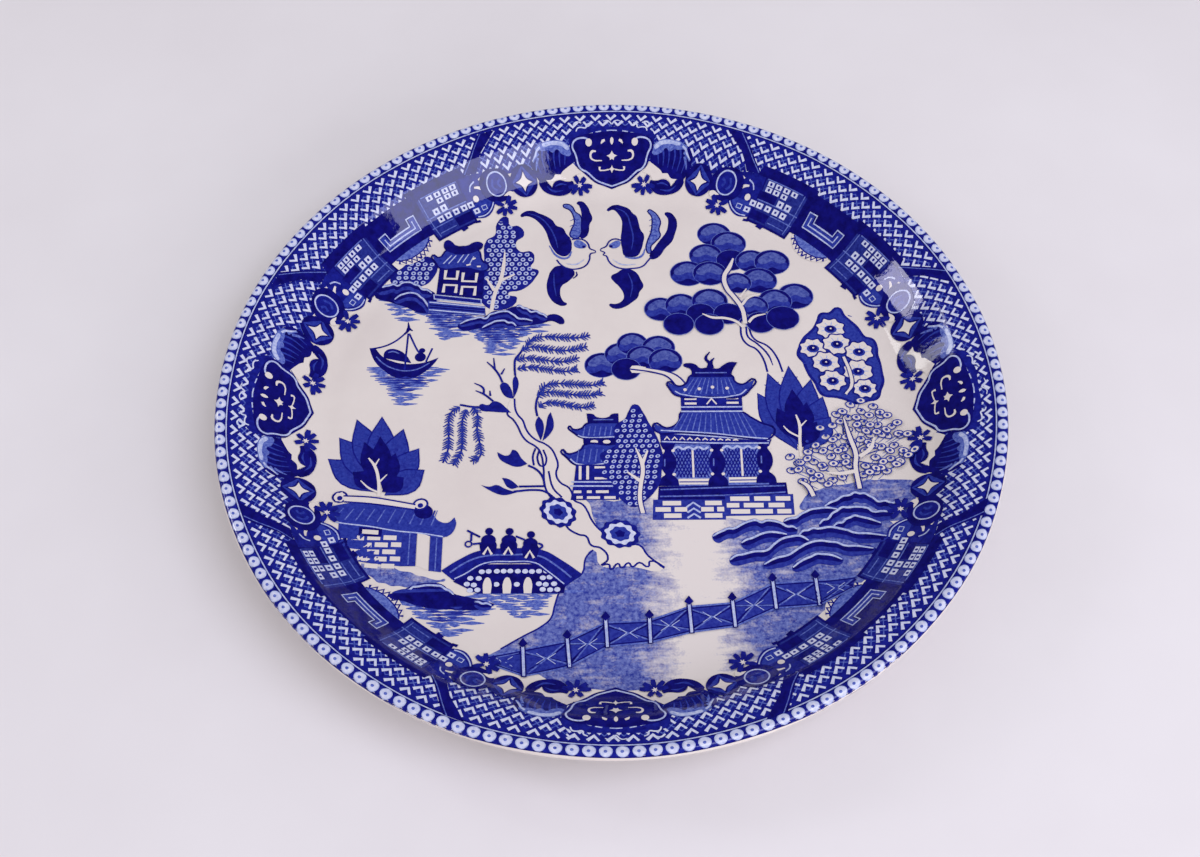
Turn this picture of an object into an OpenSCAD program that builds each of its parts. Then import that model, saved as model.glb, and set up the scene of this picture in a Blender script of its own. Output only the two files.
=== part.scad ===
// China dinner plate, decorated with blue underglaze prints.
// One fired clay body on a turned foot ring, two printed films on its face, and a clear glaze
// coat that the wiped foot splits in two. Everything is turned about Z, and z = 0 is the table.

/* [Plate] */
// Outside diameter, over the glazed lip
plate_d = 230; // [190:1:280]
// Rise of the clay face from the well floor to the outer edge of the brim
face_rise = 14.4; // [12:0.1:20]
// Width of the sloping brim, seen from above
brim_w = 7.8; // [6:0.1:12]
// Slope of the brim, in degrees above level
brim_slope = 18; // [12:1:22]
// Slope of the cavetto, the wall between the well and the brim, in degrees
cavetto_slope = 41; // [32:1:49]
// Radius of the curve from the well floor into the cavetto
floor_bend_r = 21; // [14:1:26]
// Radius of the curve from the cavetto into the brim
brim_bend_r = 10; // [6:1:14]

/* [Clay] */
// Thickness of the clay wall
clay_t = 3.6; // [3:0.1:4.6]
// Thickness at the lip, which the underside of the brim tapers to
lip_t = 2.6; // [2:0.1:3]

/* [Foot ring] */
// Distance from the edge of the well floor in to the outside of the foot
foot_inset = 9; // [6:0.5:20]
// Width of the foot where it stands on the table
foot_w = 3; // [2.2:0.1:5]
// Height of the foot, from the table to the underside of the clay
foot_h = 3.3; // [2.5:0.1:4.5]
// Taper of each side of the foot, in degrees
foot_taper = 14; // [6:1:20]
// Radius of the two lower edges of the foot
foot_edge_r = 0.6; // [0.3:0.05:0.8]
// Height of the strip above the table that is wiped clean of glaze
bare_h = 1.1; // [0.9:0.1:1.6]

/* [Prints and glaze] */
// Thickness of the glaze
glaze_t = 0.3; // [0.2:0.05:0.4]
// Depth that the printed film takes up under the glaze
print_t = 0.1; // [0.08:0.01:0.15]

/* [Hidden] */
bend_steps = 12;
turn_fn = 180;

// The clay face, from the axis outwards: a level floor, the floor bend, the straight cavetto,
// the brim bend and the straight brim, which ends at the rounded lip.
lip_r = lip_t / 2;
floor_z = foot_h + clay_t;
brim_end_x = plate_d / 2 - glaze_t - lip_r * (1 + sin(brim_slope));
brim_end_z = floor_z + face_rise;
brim_bend_x = brim_end_x - brim_w;
brim_bend_z = brim_end_z - brim_w * tan(brim_slope);
bend_centre_x = brim_bend_x + brim_bend_r * sin(brim_slope);
bend_centre_z = brim_bend_z - brim_bend_r * cos(brim_slope);
wall_top_x = bend_centre_x - brim_bend_r * sin(cavetto_slope);
wall_top_z = bend_centre_z + brim_bend_r * cos(cavetto_slope);
wall_foot_z = floor_z + floor_bend_r * (1 - cos(cavetto_slope));
wall_foot_x = wall_top_x - (wall_top_z - wall_foot_z) / tan(cavetto_slope);
well_r = wall_foot_x - floor_bend_r * sin(cavetto_slope);
lip_x = brim_end_x + lip_r * sin(brim_slope);
lip_z = brim_end_z - lip_r * cos(brim_slope);

// The underside of the brim is the line that touches the back of the brim bend and the lip.
back_bend_r = brim_bend_r - clay_t;
lip_reach_x = lip_x - bend_centre_x;
lip_reach_z = lip_z - bend_centre_z;
back_slope = acos((back_bend_r + lip_r) / norm([lip_reach_x, lip_reach_z])) - atan2(lip_reach_x, lip_reach_z);

// The foot stands under the level part of the clay.
foot_outer_r = well_r - foot_inset;
foot_inner_r = foot_outer_r - foot_w;
side_glaze_w = glaze_t / cos(foot_taper);

// Points on an arc, its first and last included.
function arc(x, z, r, from, to, steps) =
    [for (i = [0:steps]) let (a = from + (to - from) * i / steps) [x + r * cos(a), z + r * sin(a)]];

// The same list without its first and last points.
function inner(points) = [for (i = [1:len(points) - 2]) points[i]];

// The same list, last point first.
function backwards(points) = [for (i = [len(points) - 1:-1:0]) points[i]];

// The line of the face from the edge of the well floor to the end of the brim, moved out along
// its normal by d.
function wall_line(d) = concat(
    arc(well_r, floor_z + floor_bend_r, floor_bend_r - d, -90, cavetto_slope - 90, bend_steps),
    arc(bend_centre_x, bend_centre_z, brim_bend_r + d, 90 + cavetto_slope, 90 + brim_slope, bend_steps),
    [[brim_end_x - d * sin(brim_slope), brim_end_z + d * cos(brim_slope)]]);

// The line of the back, from under the edge of the well floor to where the lip begins, moved out
// along its normal by d.
function back_line(d) = concat(
    arc(well_r, floor_z + floor_bend_r, floor_bend_r + clay_t + d, -90, cavetto_slope - 90, bend_steps),
    arc(bend_centre_x, bend_centre_z, back_bend_r - d, 90 + cavetto_slope, 90 + back_slope, bend_steps),
    [[lip_x + (lip_r + d) * sin(back_slope), lip_z - (lip_r + d) * cos(back_slope)]]);

// The whole face from the axis out, moved out by d.
function face_line(d) = concat([[0, floor_z + d]], wall_line(d));

// The round of the lip, moved out by d, without its first and last points, which end the face
// and the back.
function lip_line(d) = inner(arc(lip_x, lip_z, lip_r + d, 90 + brim_slope, back_slope - 90, 2 * bend_steps));

// Radii of the outer and inner sides of the foot at height z.
function foot_outer(z) = foot_outer_r + z * tan(foot_taper);
function foot_inner(z) = foot_inner_r - z * tan(foot_taper);

// How far in from the sharp corner the centre of the foot's edge rounding lies.
function edge_centre() = foot_edge_r * (cos(foot_taper) - (1 - sin(foot_taper)) * tan(foot_taper));

module turned(points) {
    rotate_extrude($fn = turn_fn) polygon(points);
}

// Fired clay: the well, cavetto, brim and lip are one wall, which thins towards the lip.
module clay_body() {
    color("#efe8de") turned(concat(face_line(0), lip_line(0), backwards(back_line(0)), [[0, foot_h]]));
}

// The ring that the plate stands on. Its lower edges are rounded and left bare.
module foot_ring() {
    outer_edge = arc(foot_outer_r - edge_centre(), foot_edge_r, foot_edge_r, -90, -foot_taper, 6);
    inner_edge = arc(foot_inner_r + edge_centre(), foot_edge_r, foot_edge_r, foot_taper - 180, -90, 6);
    color("#d9cbb5") turned(concat(
        outer_edge,
        [[foot_outer(foot_h), foot_h], [foot_inner(foot_h), foot_h]],
        inner_edge));
}

// The landscape print, a film on the level floor of the well.
module centre_print() {
    color("#2b3a9c") translate([0, 0, floor_z]) cylinder(r = well_r, h = print_t, $fn = turn_fn);
}

// The border print, a film that climbs the cavetto and covers the brim.
module border_print() {
    color("#1d2a86") turned(concat(wall_line(0), backwards(wall_line(print_t))));
}

// The clear coat over the face, round the lip and down the back to the side of the foot.
module glaze_coat() {
    foot_top = foot_h - glaze_t;
    color("#f4f1ec") turned(concat(
        face_line(glaze_t),
        lip_line(glaze_t),
        backwards(back_line(glaze_t)),
        [[foot_outer(foot_top) + side_glaze_w, foot_top],
         [foot_outer(bare_h) + side_glaze_w, bare_h],
         [foot_outer(bare_h), bare_h],
         [foot_outer(foot_h), foot_h]],
        back_line(0),
        backwards(lip_line(0)),
        [[brim_end_x, brim_end_z]],
        backwards(face_line(print_t))));
}

// The clear coat inside the foot ring, cut off from the rest by the bare foot.
module recess_glaze() {
    foot_top = foot_h - glaze_t;
    color("#eeebe4") turned([
        [0, foot_h],
        [foot_inner(foot_h), foot_h],
        [foot_inner(bare_h), bare_h],
        [foot_inner(bare_h) - side_glaze_w, bare_h],
        [foot_inner(foot_top) - side_glaze_w, foot_top],
        [0, foot_top]]);
}

clay_body();
foot_ring();
centre_print();
border_print();
glaze_coat();
recess_glaze();
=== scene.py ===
"""A china dinner plate with a blue landscape print, on a plain pale table.

The clay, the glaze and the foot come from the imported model. The face is turned again as one
smooth glazed skin, and the two prints are drawn on it mark by mark, as an engraver works: an
outline is filled, a line is inked with a pen of a given width, and a later mark lies over an
earlier one.
"""
from math import acos, atan2, cos, hypot, pi, radians, sin, sqrt, tan
from random import Random

import bpy
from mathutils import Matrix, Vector


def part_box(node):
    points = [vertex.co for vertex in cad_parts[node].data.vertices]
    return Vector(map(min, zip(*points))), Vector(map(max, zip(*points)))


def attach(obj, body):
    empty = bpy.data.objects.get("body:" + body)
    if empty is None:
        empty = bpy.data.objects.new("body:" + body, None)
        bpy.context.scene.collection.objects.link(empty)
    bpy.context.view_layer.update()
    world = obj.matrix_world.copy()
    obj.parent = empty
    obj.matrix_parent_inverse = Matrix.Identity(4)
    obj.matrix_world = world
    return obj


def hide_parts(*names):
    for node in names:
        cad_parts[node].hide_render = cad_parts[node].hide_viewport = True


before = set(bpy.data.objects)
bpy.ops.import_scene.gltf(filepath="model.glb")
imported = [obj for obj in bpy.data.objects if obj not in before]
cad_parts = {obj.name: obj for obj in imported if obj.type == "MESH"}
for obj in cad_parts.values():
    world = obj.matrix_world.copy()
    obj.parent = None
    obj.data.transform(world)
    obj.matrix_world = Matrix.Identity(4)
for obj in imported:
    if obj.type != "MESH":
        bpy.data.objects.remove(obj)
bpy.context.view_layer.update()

MM = 0.001

# Glazed plate ---------------------------------------------------------------------------------
# White earthenware, pressed and turned, then dipped whole in clear glaze. The skin runs over the
# face, round the lip, down the back and under the plate inside the foot. Its sizes, in
# millimetres, are the frame's: only the slopes and the two bends are the design's own.

plate_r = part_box("glaze_coat")[1].x / MM
glaze_t = plate_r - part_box("clay_body")[1].x / MM
well_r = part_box("centre_print")[1].x / MM
clay_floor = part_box("centre_print")[0].z / MM
foot_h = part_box("foot_ring")[1].z / MM
clay_t = clay_floor - foot_h
cavetto_slope = radians(41)
brim_slope = radians(18)
floor_bend_r = 21 - glaze_t
brim_bend_r = 10 + glaze_t
lip_r = 2.6 / 2 + glaze_t

floor_z = clay_floor + glaze_t
lip_x = plate_r - lip_r
lip_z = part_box("glaze_coat")[1].z / MM - lip_r
wall_foot_x = well_r + floor_bend_r * sin(cavetto_slope)
wall_foot_z = floor_z + floor_bend_r * (1 - cos(cavetto_slope))
brim_end_x = lip_x - lip_r * sin(brim_slope)
brim_end_z = lip_z + lip_r * cos(brim_slope)

# The bend into the brim touches the cavetto's line and the brim's line, both lowered by its radius.
wall_line = wall_foot_z - tan(cavetto_slope) * wall_foot_x - brim_bend_r / cos(cavetto_slope)
brim_line = brim_end_z - tan(brim_slope) * brim_end_x - brim_bend_r / cos(brim_slope)
bend_x = (brim_line - wall_line) / (tan(cavetto_slope) - tan(brim_slope))
bend_z = brim_line + tan(brim_slope) * bend_x
wall_top_x = bend_x - brim_bend_r * sin(cavetto_slope)
brim_start_x = bend_x - brim_bend_r * sin(brim_slope)


def face_height(r):
    """Height of the glazed face at radius r, from the well's centre to the edge of the lip."""
    if r < well_r:
        return floor_z
    if r < wall_foot_x:
        return floor_z + floor_bend_r - sqrt(floor_bend_r ** 2 - (r - well_r) ** 2)
    if r < wall_top_x:
        return wall_foot_z + (r - wall_foot_x) * tan(cavetto_slope)
    if r < brim_start_x:
        return bend_z + sqrt(brim_bend_r ** 2 - (r - bend_x) ** 2)
    if r < brim_end_x:
        return brim_end_z - (brim_end_x - r) * tan(brim_slope)
    return lip_z + sqrt(max(lip_r ** 2 - (r - lip_x) ** 2, 0))


def arc(x, z, r, start, end, steps):
    """Points on an arc, with angles in radians."""
    turns = [start + (end - start) * i / steps for i in range(steps + 1)]
    return [(x + r * cos(a), z + r * sin(a)) for a in turns]


def plate_profile():
    """The skin's outline, from the well's centre over the lip and back to the axis underneath."""
    back = clay_t + 2 * glaze_t
    reach = Vector((lip_x - bend_x, lip_z - bend_z))
    back_slope = acos((brim_bend_r - back + lip_r) / reach.length) - atan2(reach.x, reach.y)
    under = foot_h - glaze_t
    bare_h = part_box("recess_glaze")[0].z / MM
    foot_draft = radians(14)
    lean = tan(foot_draft)
    side = glaze_t / cos(foot_draft)
    foot_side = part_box("foot_ring")[1].x / MM - (foot_h - bare_h) * lean
    recess_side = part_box("recess_glaze")[1].x / MM
    return [
        (0, floor_z),
        (well_r / 2, floor_z),
        *arc(well_r, floor_z + floor_bend_r, floor_bend_r, -pi / 2, cavetto_slope - pi / 2, 20),
        *arc(bend_x, bend_z, brim_bend_r, pi / 2 + cavetto_slope, pi / 2 + brim_slope, 16),
        *arc(lip_x, lip_z, lip_r, pi / 2 + brim_slope, back_slope - pi / 2, 36),
        *arc(bend_x, bend_z, brim_bend_r - back, pi / 2 + back_slope, pi / 2 + cavetto_slope, 12),
        *arc(well_r, floor_z + floor_bend_r, floor_bend_r + back, cavetto_slope - pi / 2, -pi / 2, 20),
        (foot_side + (under - bare_h) * lean + side, under),
        (foot_side + side, bare_h),
        (foot_side, bare_h),
        (recess_side, bare_h),
        (recess_side - side, bare_h),
        (recess_side - side - (under - bare_h) * lean, under),
        (0, under),
    ]


def activate(piece):
    bpy.ops.object.select_all(action="DESELECT")
    piece.select_set(True)
    bpy.context.view_layer.objects.active = piece


def turned(name, profile):
    """Spins a profile in millimetres about Z into a closed skin with its faces outwards."""
    mesh = bpy.data.meshes.new(name)
    points = [(x * MM, 0, z * MM) for x, z in profile]
    mesh.from_pydata(points, [(i, i + 1) for i in range(len(points) - 1)], [])
    piece = bpy.data.objects.new(name, mesh)
    bpy.context.scene.collection.objects.link(piece)
    activate(piece)
    bpy.ops.object.mode_set(mode="EDIT")
    bpy.ops.mesh.select_all(action="SELECT")
    bpy.ops.mesh.spin(steps=360, angle=2 * pi, center=(0, 0, 0), axis=(0, 0, 1))
    bpy.ops.mesh.select_all(action="SELECT")
    bpy.ops.mesh.remove_doubles(threshold=1e-6)
    bpy.ops.mesh.normals_make_consistent(inside=False)
    bpy.ops.object.mode_set(mode="OBJECT")
    bpy.ops.object.shade_smooth_by_angle(angle=radians(35))
    return piece


def linear(colour):
    """An sRGB hex colour as the linear RGBA that Blender takes."""
    parts = [int(colour[i:i + 2], 16) / 255 for i in (1, 3, 5)]
    return [p / 12.92 if p <= 0.04045 else ((p + 0.055) / 1.055) ** 2.4 for p in parts] + [1]


def node(tree, kind, inputs={}, **settings):
    """Adds a node. An input takes a value, or another node's socket to link from."""
    made = tree.nodes.new(kind)
    for key, value in settings.items():
        setattr(made, key, value)
    for key, value in inputs.items():
        if isinstance(value, bpy.types.NodeSocket):
            tree.links.new(value, made.inputs[key])
        else:
            made.inputs[key].default_value = value
    return made


def new_material(name):
    material = bpy.data.materials.new(name)
    material.use_nodes = True
    material.node_tree.nodes.clear()
    return material, material.node_tree


def gloss(tree, colour):
    """Clear lead-free glaze over whatever colour lies under it: smooth as glass, but it settles in
    low ripples some millimetres apart, with fine pin dimples, and both break up a reflection."""
    place = node(tree, "ShaderNodeTexCoord").outputs["Object"]
    ripple = node(tree, "ShaderNodeTexNoise", {"Vector": place, "Scale": 1 / (7 * MM), "Detail": 2.0})
    dimple = node(tree, "ShaderNodeTexNoise", {"Vector": place, "Scale": 1 / (1.1 * MM), "Detail": 3.0})
    low = node(tree, "ShaderNodeBump", {
        "Height": ripple.outputs["Fac"], "Distance": 0.12 * MM, "Strength": 0.5})
    fine = node(tree, "ShaderNodeBump", {
        "Height": dimple.outputs["Fac"], "Distance": 0.02 * MM, "Strength": 0.5,
        "Normal": low.outputs["Normal"]})
    shader = node(tree, "ShaderNodeBsdfPrincipled", {
        "Base Color": colour, "Roughness": 0.035, "IOR": 1.52, "Normal": fine.outputs["Normal"]})
    node(tree, "ShaderNodeOutputMaterial", {"Surface": shader.outputs["BSDF"]})


def mottle(tree, dark, light, grain, spread=0.22):
    """A colour that wanders between two hex colours, in patches of about the grain's size in mm."""
    place = node(tree, "ShaderNodeTexCoord").outputs["Object"]
    cloud = node(tree, "ShaderNodeTexNoise", {
        "Vector": place, "Scale": 1 / (grain * MM), "Detail": 4.0, "Roughness": 0.65})
    share = node(tree, "ShaderNodeMapRange", {
        "Value": cloud.outputs["Fac"], "From Min": 0.5 - spread, "From Max": 0.5 + spread})
    # Sockets 6 and 7 are the two colours of a Mix node, and output 2 is their mixture.
    return node(tree, "ShaderNodeMix", {
        0: share.outputs["Result"], 6: linear(dark), 7: linear(light)}, data_type="RGBA").outputs[2]


def glazed_china():
    """White earthenware under clear glaze: warm off-white with faint clouds, and here and there an
    iron speck from the clay."""
    material, tree = new_material("glazed_china")
    clay = mottle(tree, "#D6CDC8", "#DED6D0", 30)
    place = node(tree, "ShaderNodeTexCoord").outputs["Object"]
    cells = node(tree, "ShaderNodeTexVoronoi", {"Vector": place, "Scale": 1 / (11 * MM)})
    speck = node(tree, "ShaderNodeMath", {0: cells.outputs["Distance"], 1: 0.022}, operation="LESS_THAN")
    few = node(tree, "ShaderNodeMath", {0: cells.outputs["Color"], 1: 0.12}, operation="LESS_THAN")
    iron = node(tree, "ShaderNodeMath", {0: speck.outputs[0], 1: few.outputs[0]}, operation="MULTIPLY")
    colour = node(tree, "ShaderNodeMix", {
        0: iron.outputs[0], 6: clay, 7: linear("#5C4B3A")}, data_type="RGBA").outputs[2]
    gloss(tree, colour)
    return material


china = glazed_china()
plate = turned("glazed_plate", plate_profile())
plate.data.materials.append(china)
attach(plate, "root")
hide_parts("clay_body", "glaze_coat", "recess_glaze", "centre_print", "border_print")

# Bare foot ------------------------------------------------------------------------------------
# The ring under the plate is the same clay, wiped clean of glaze before firing so that it doesn't
# stick to the kiln shelf. It keeps the model's own shape.


def biscuit():
    """Fired clay with no glaze: buff and matt, with fine grit."""
    material, tree = new_material("biscuit_clay")
    colour = mottle(tree, "#A8967C", "#CDBFA6", 2.5, 0.3)
    place = node(tree, "ShaderNodeTexCoord").outputs["Object"]
    grit = node(tree, "ShaderNodeTexNoise", {"Vector": place, "Scale": 1 / (0.35 * MM), "Detail": 3.0})
    rough = node(tree, "ShaderNodeBump", {
        "Height": grit.outputs["Fac"], "Distance": 0.06 * MM, "Strength": 0.7})
    shader = node(tree, "ShaderNodeBsdfPrincipled", {
        "Base Color": colour, "Roughness": 0.85, "Normal": rough.outputs["Normal"]})
    node(tree, "ShaderNodeOutputMaterial", {"Surface": shader.outputs["BSDF"]})
    return material


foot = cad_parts["foot_ring"]
foot.data.materials.clear()
foot.data.materials.append(biscuit())

# Table, light and camera ----------------------------------------------------------------------
# A plain pale board under one large soft box on the right in front, two small ones on the left
# and a low wide one that lifts the shadows. The camera looks down on the plate from the front.


def table_board():
    """Matt painted board, pale lilac grey, with the faintest unevenness."""
    material, tree = new_material("painted_board")
    colour = mottle(tree, "#DCD8DA", "#E3E0E2", 160)
    shader = node(tree, "ShaderNodeBsdfPrincipled", {"Base Color": colour, "Roughness": 0.6})
    node(tree, "ShaderNodeOutputMaterial", {"Surface": shader.outputs["BSDF"]})
    return material


board_size = 5
bpy.ops.mesh.primitive_plane_add(size=board_size, location=(0, 0, 0))
table = bpy.context.active_object
table.name = "table"
table.data.materials.append(table_board())


def soft_box(name, direction, distance, width, height, power, colour, roll=0):
    """A rectangular light that faces the plate from the given direction."""
    away = Vector(direction).normalized()
    bpy.ops.object.light_add(type="AREA", location=away * distance)
    light = bpy.context.active_object
    light.name = name
    light.rotation_euler = away.to_track_quat("Z", "Y").to_euler()
    light.rotation_euler.rotate_axis("Z", radians(roll))
    light.data.shape = "RECTANGLE"
    light.data.size = width
    light.data.size_y = height
    light.data.energy = power
    light.data.color = linear(colour)[:3]
    return light


soft_box("key_box", (0.46, -0.28, 0.84), 1.37, 0.86, 0.66, 6.8, "#E8EAFF", roll=-33)
soft_box("left_box", (-0.84, 0.2, 0.52), 1.5, 0.24, 0.42, 2.6, "#EFECFF")
soft_box("strip_light", (-0.6, 0.46, 0.65), 1.5, 1.0, 0.09, 1.1, "#FFFFFF", roll=-63)

fill_box = soft_box("fill_box", (0.62, -0.75, 0.38), 1.25, 1.5, 0.5, 8, "#FAF6FF")
fill_box.visible_glossy = False

# The glaze mirrors almost nothing of the room: a polarising filter on the lens takes it off.
world = bpy.data.worlds.new("studio")
world.use_nodes = True
room = world.node_tree
room_light, mirrored_light = 0.66, 0.05
ray = node(room, "ShaderNodeLightPath")
bright = node(room, "ShaderNodeMapRange", {
    "Value": ray.outputs["Is Glossy Ray"], "To Min": room_light, "To Max": mirrored_light})
room.nodes["Background"].inputs["Color"].default_value = linear("#F6F3F4")
room.links.new(bright.outputs["Result"], room.nodes["Background"].inputs["Strength"])
bpy.context.scene.world = world
bpy.context.scene.view_settings.view_transform = "Standard"

elevation = radians(55.05)
turn = radians(-0.15)
lean = radians(-0.17)
distance = 0.4713
aim = Vector((0, 0, 14 * MM))
away = Vector((sin(turn) * cos(elevation), -cos(turn) * cos(elevation), sin(elevation)))
bpy.ops.object.camera_add(location=aim + distance * away)
camera = bpy.context.active_object
camera.rotation_euler = away.to_track_quat("Z", "Y").to_euler()
camera.rotation_euler.rotate_axis("Z", lean)
camera.data.lens = 47.85
camera.data.sensor_width = 36
camera.data.shift_x = -0.0094
camera.data.shift_y = -0.0245
camera.data.clip_start = 0.01
bpy.context.scene.camera = camera

# Edge of the border ---------------------------------------------------------------------------
# Both prints are cobalt pulled from engraved copper on tissue and rubbed down on the fired clay,
# so the blue lies under the glaze. The border's outermost band is a string of pale beads on blue,
# between the lip and a double pale line. The border is drawn flat as a strip, with the angle
# along it and the radius across, and is then laid round the plate.

STRIP_R = 98
ALONG = radians(1) * STRIP_R
inked = []
layer = 0.012


def cobalt(name, dark, light, grain, spread=0.22):
    """One strength of the print: cobalt ink under glaze, in fine clouds where the engraved dots
    ran together. The strength is set by how deep and how close the dots were cut."""
    material, tree = new_material(name)
    gloss(tree, mottle(tree, dark, light, grain, spread))
    return material


deep = cobalt("cobalt_deep", "#07034E", "#12127A", 2.5)
line_blue = cobalt("cobalt_line", "#0C0C66", "#1C2490", 1.6)
middle = cobalt("cobalt_middle", "#182384", "#3544A4", 0.9)
wash = cobalt("cobalt_wash", "#3444A0", "#7080C4", 0.8, 0.16)
faint = cobalt("cobalt_faint", "#8E9BD0", "#C4CBE4", 0.9, 0.16)
pale = cobalt("cobalt_pale", "#AFB8DA", "#DADBEA", 1.2)


def spline(curve, points, closed, z, smooth):
    """One outline or line. A third number makes a corner of an outline's point, or is the pen's
    share of its full width at a line's point."""
    made = curve.splines.new("BEZIER")
    made.bezier_points.add(len(points) - 1)
    made.use_cyclic_u = closed
    for knot, point in zip(made.bezier_points, points):
        knot.co = (point[0], point[1], z)
        corner = not smooth or (closed and len(point) == 3)
        knot.handle_left_type = knot.handle_right_type = "VECTOR" if corner else "AUTO"
        knot.tilt = pi / 2
        knot.radius = 1 if closed or len(point) == 2 else point[2]


def ink(kind, material, steps):
    """An empty flat drawing in one strength of ink."""
    curve = bpy.data.curves.new(kind, "CURVE")
    curve.resolution_u = steps
    curve.materials.append(material)
    mark = bpy.data.objects.new(kind, curve)
    bpy.context.scene.collection.objects.link(mark)
    inked.append(mark)
    return curve


def film():
    """The height of the next mark: each lies a hair over the marks before it."""
    return 0.02 + layer * len(inked)


def fill(material, outlines, smooth=True, steps=4):
    """Fills closed outlines. An outline inside another is a hole in it."""
    height = film()
    curve = ink("fill", material, steps)
    curve.dimensions = "2D"
    curve.fill_mode = "FRONT"
    for points in outlines:
        spline(curve, points, True, 0.0, smooth)
    inked[-1].location.z = height


def pen(material, width, lines, smooth=True, closed=False, steps=4):
    """Inks lines with a flat pen of the given width."""
    height = film()
    curve = ink("line", material, steps)
    curve.dimensions = "3D"
    curve.twist_mode = "Z_UP"
    curve.extrude = width / 2
    for i, points in enumerate(lines):
        spline(curve, points, closed, height + 0.0001 * (i % 12), smooth)


def round_dot(x, y, r, squash=1.0, turn=0.0, n=8):
    """The outline of a dot or an oval."""
    points = []
    for i in range(n):
        a = 2 * pi * i / n
        u, v = r * cos(a), r * squash * sin(a)
        points.append((x + u * cos(turn) - v * sin(turn), y + u * sin(turn) + v * cos(turn)))
    return points


def joined(name):
    """Turns all the marks drawn so far into one mesh, still flat and in millimetres."""
    bpy.ops.object.select_all(action="DESELECT")
    for mark in inked:
        mark.select_set(True)
    bpy.context.view_layer.objects.active = inked[0]
    bpy.ops.object.convert(target="MESH")
    bpy.ops.object.transform_apply(location=True, rotation=False, scale=False)
    if len(inked) > 1:
        bpy.ops.object.join()
    inked.clear()
    piece = bpy.context.active_object
    piece.name = piece.data.name = name
    return piece


def cut_in_steps(piece, direction, step, start, end):
    """Cuts a flat piece across at even steps, so that it can follow a curve."""
    bpy.context.view_layer.objects.active = piece
    bpy.ops.object.mode_set(mode="EDIT")
    bpy.ops.mesh.select_mode(type="FACE")
    for i in range(int((end - start) / step) + 1):
        bpy.ops.mesh.select_all(action="SELECT")
        place = [(start + i * step) * d for d in direction]
        bpy.ops.mesh.bisect(plane_co=place, plane_no=direction)
    bpy.ops.object.mode_set(mode="OBJECT")


def lay(piece, places, faces, slots):
    """Rebuilds a piece with its points on the glaze, facing up, with the plate's own normals. A
    point's third number is its height over the glaze."""
    mesh = bpy.data.meshes.new(piece.name)
    points = [(x * MM, y * MM, (face_height(hypot(x, y)) + z) * MM) for x, y, z in places]
    mesh.from_pydata(points, [], faces)
    for material in piece.data.materials:
        mesh.materials.append(material)
    mesh.polygons.foreach_set("material_index", slots)
    normals = []
    for x, y, _ in places:
        r = max(hypot(x, y), 1e-6)
        rise = (face_height(r + 0.01) - face_height(r - 0.01)) / 0.02
        normals.append(Vector((-rise * x / r, -rise * y / r, 1)).normalized())
    mesh.polygons.foreach_set("use_smooth", [True] * len(faces))
    mesh.normals_split_custom_set_from_vertices(normals)
    piece.data = mesh
    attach(piece, "root")


def facing_up(places, face):
    """The face's corners in the order that makes it face up."""
    area = 0
    for (ax, ay, _), (bx, by, _) in zip([places[i] for i in face],
                                        [places[i] for i in face[1:] + face[:1]]):
        area += ax * by - bx * ay
    return face if area > 0 else face[::-1]


def round_the_plate(piece, copies, mirrored=False, height=0.0, creep=(0, 0)):
    """Lays a strip round the plate in equal copies. Mirrored copies alternate with plain ones. The
    whole ring can creep sideways, and lie over another piece by a height."""
    mesh = piece.data
    places, faces, slots = [], [], []
    for n in range(copies * (2 if mirrored else 1)):
        flip = -1 if mirrored and n % 2 else 1
        turn = 2 * pi * (n // 2 if mirrored else n) / copies
        base = len(places)
        for vertex in mesh.vertices:
            angle = pi / 2 - (turn + flip * vertex.co.x / STRIP_R)
            r = vertex.co.y
            # The tissue was laid by hand: it creeps a little out of true.
            angle += 0.0016 * sin(3 * angle + 1) + 0.0009 * sin(11 * angle)
            r += 0.12 * sin(5 * angle) + 0.08 * sin(13 * angle + 2)
            places.append((r * cos(angle) + creep[0], r * sin(angle) + creep[1], vertex.co.z + height))
        for polygon in mesh.polygons:
            faces.append(facing_up(places, [base + v for v in polygon.vertices]))
            slots.append(polygon.material_index)
    lay(piece, places, faces, slots)


def strip(points):
    """Points given as degrees along the strip and radius, as places on the flat strip."""
    return [(p[0] * ALONG, *p[1:]) for p in points]


BEADS = 168
pitch = 360 / BEADS
fill(middle, [strip([(0, 111.6), (pitch, 111.6), (pitch, 114.75), (0, 114.75)])], smooth=False)
pen(deep, 0.35, [strip([(0, 111.75), (pitch, 111.75)]), strip([(0, 111.05), (pitch, 111.05)]),
                 strip([(0, 114.65), (pitch, 114.65)])])
fill(line_blue, [strip([(0, 111.9), (0.42, 111.9), (0.2, 113.3), (0.36, 114.7), (0, 114.7)]),
                 strip([(pitch, 111.9), (pitch, 114.7), (pitch - 0.36, 114.7), (pitch - 0.2, 113.3),
                        (pitch - 0.42, 111.9)])],
     smooth=False)
pen(faint, 0.32, [strip([(0, 111.4), (pitch, 111.4)])])
bead_x = pitch / 2 * ALONG
fill(faint, [round_dot(bead_x, 113.2, 1.5)])
fill(pale, [round_dot(bead_x, 113.25, 1.25)])
fill(wash, [round_dot(bead_x + 0.1, 113.3, 0.42, n=6)], steps=2)
beads = joined("edge_beads")
cut_in_steps(beads, (0, 1, 0), 0.3, 111.3, 115)
round_the_plate(beads, BEADS)

# Trellis --------------------------------------------------------------------------------------
# The brim's ground: rows of white hooks that point inwards, on blue crossed by thin pale
# diagonals. One column of hooks is cut once and repeated round the plate.

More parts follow.
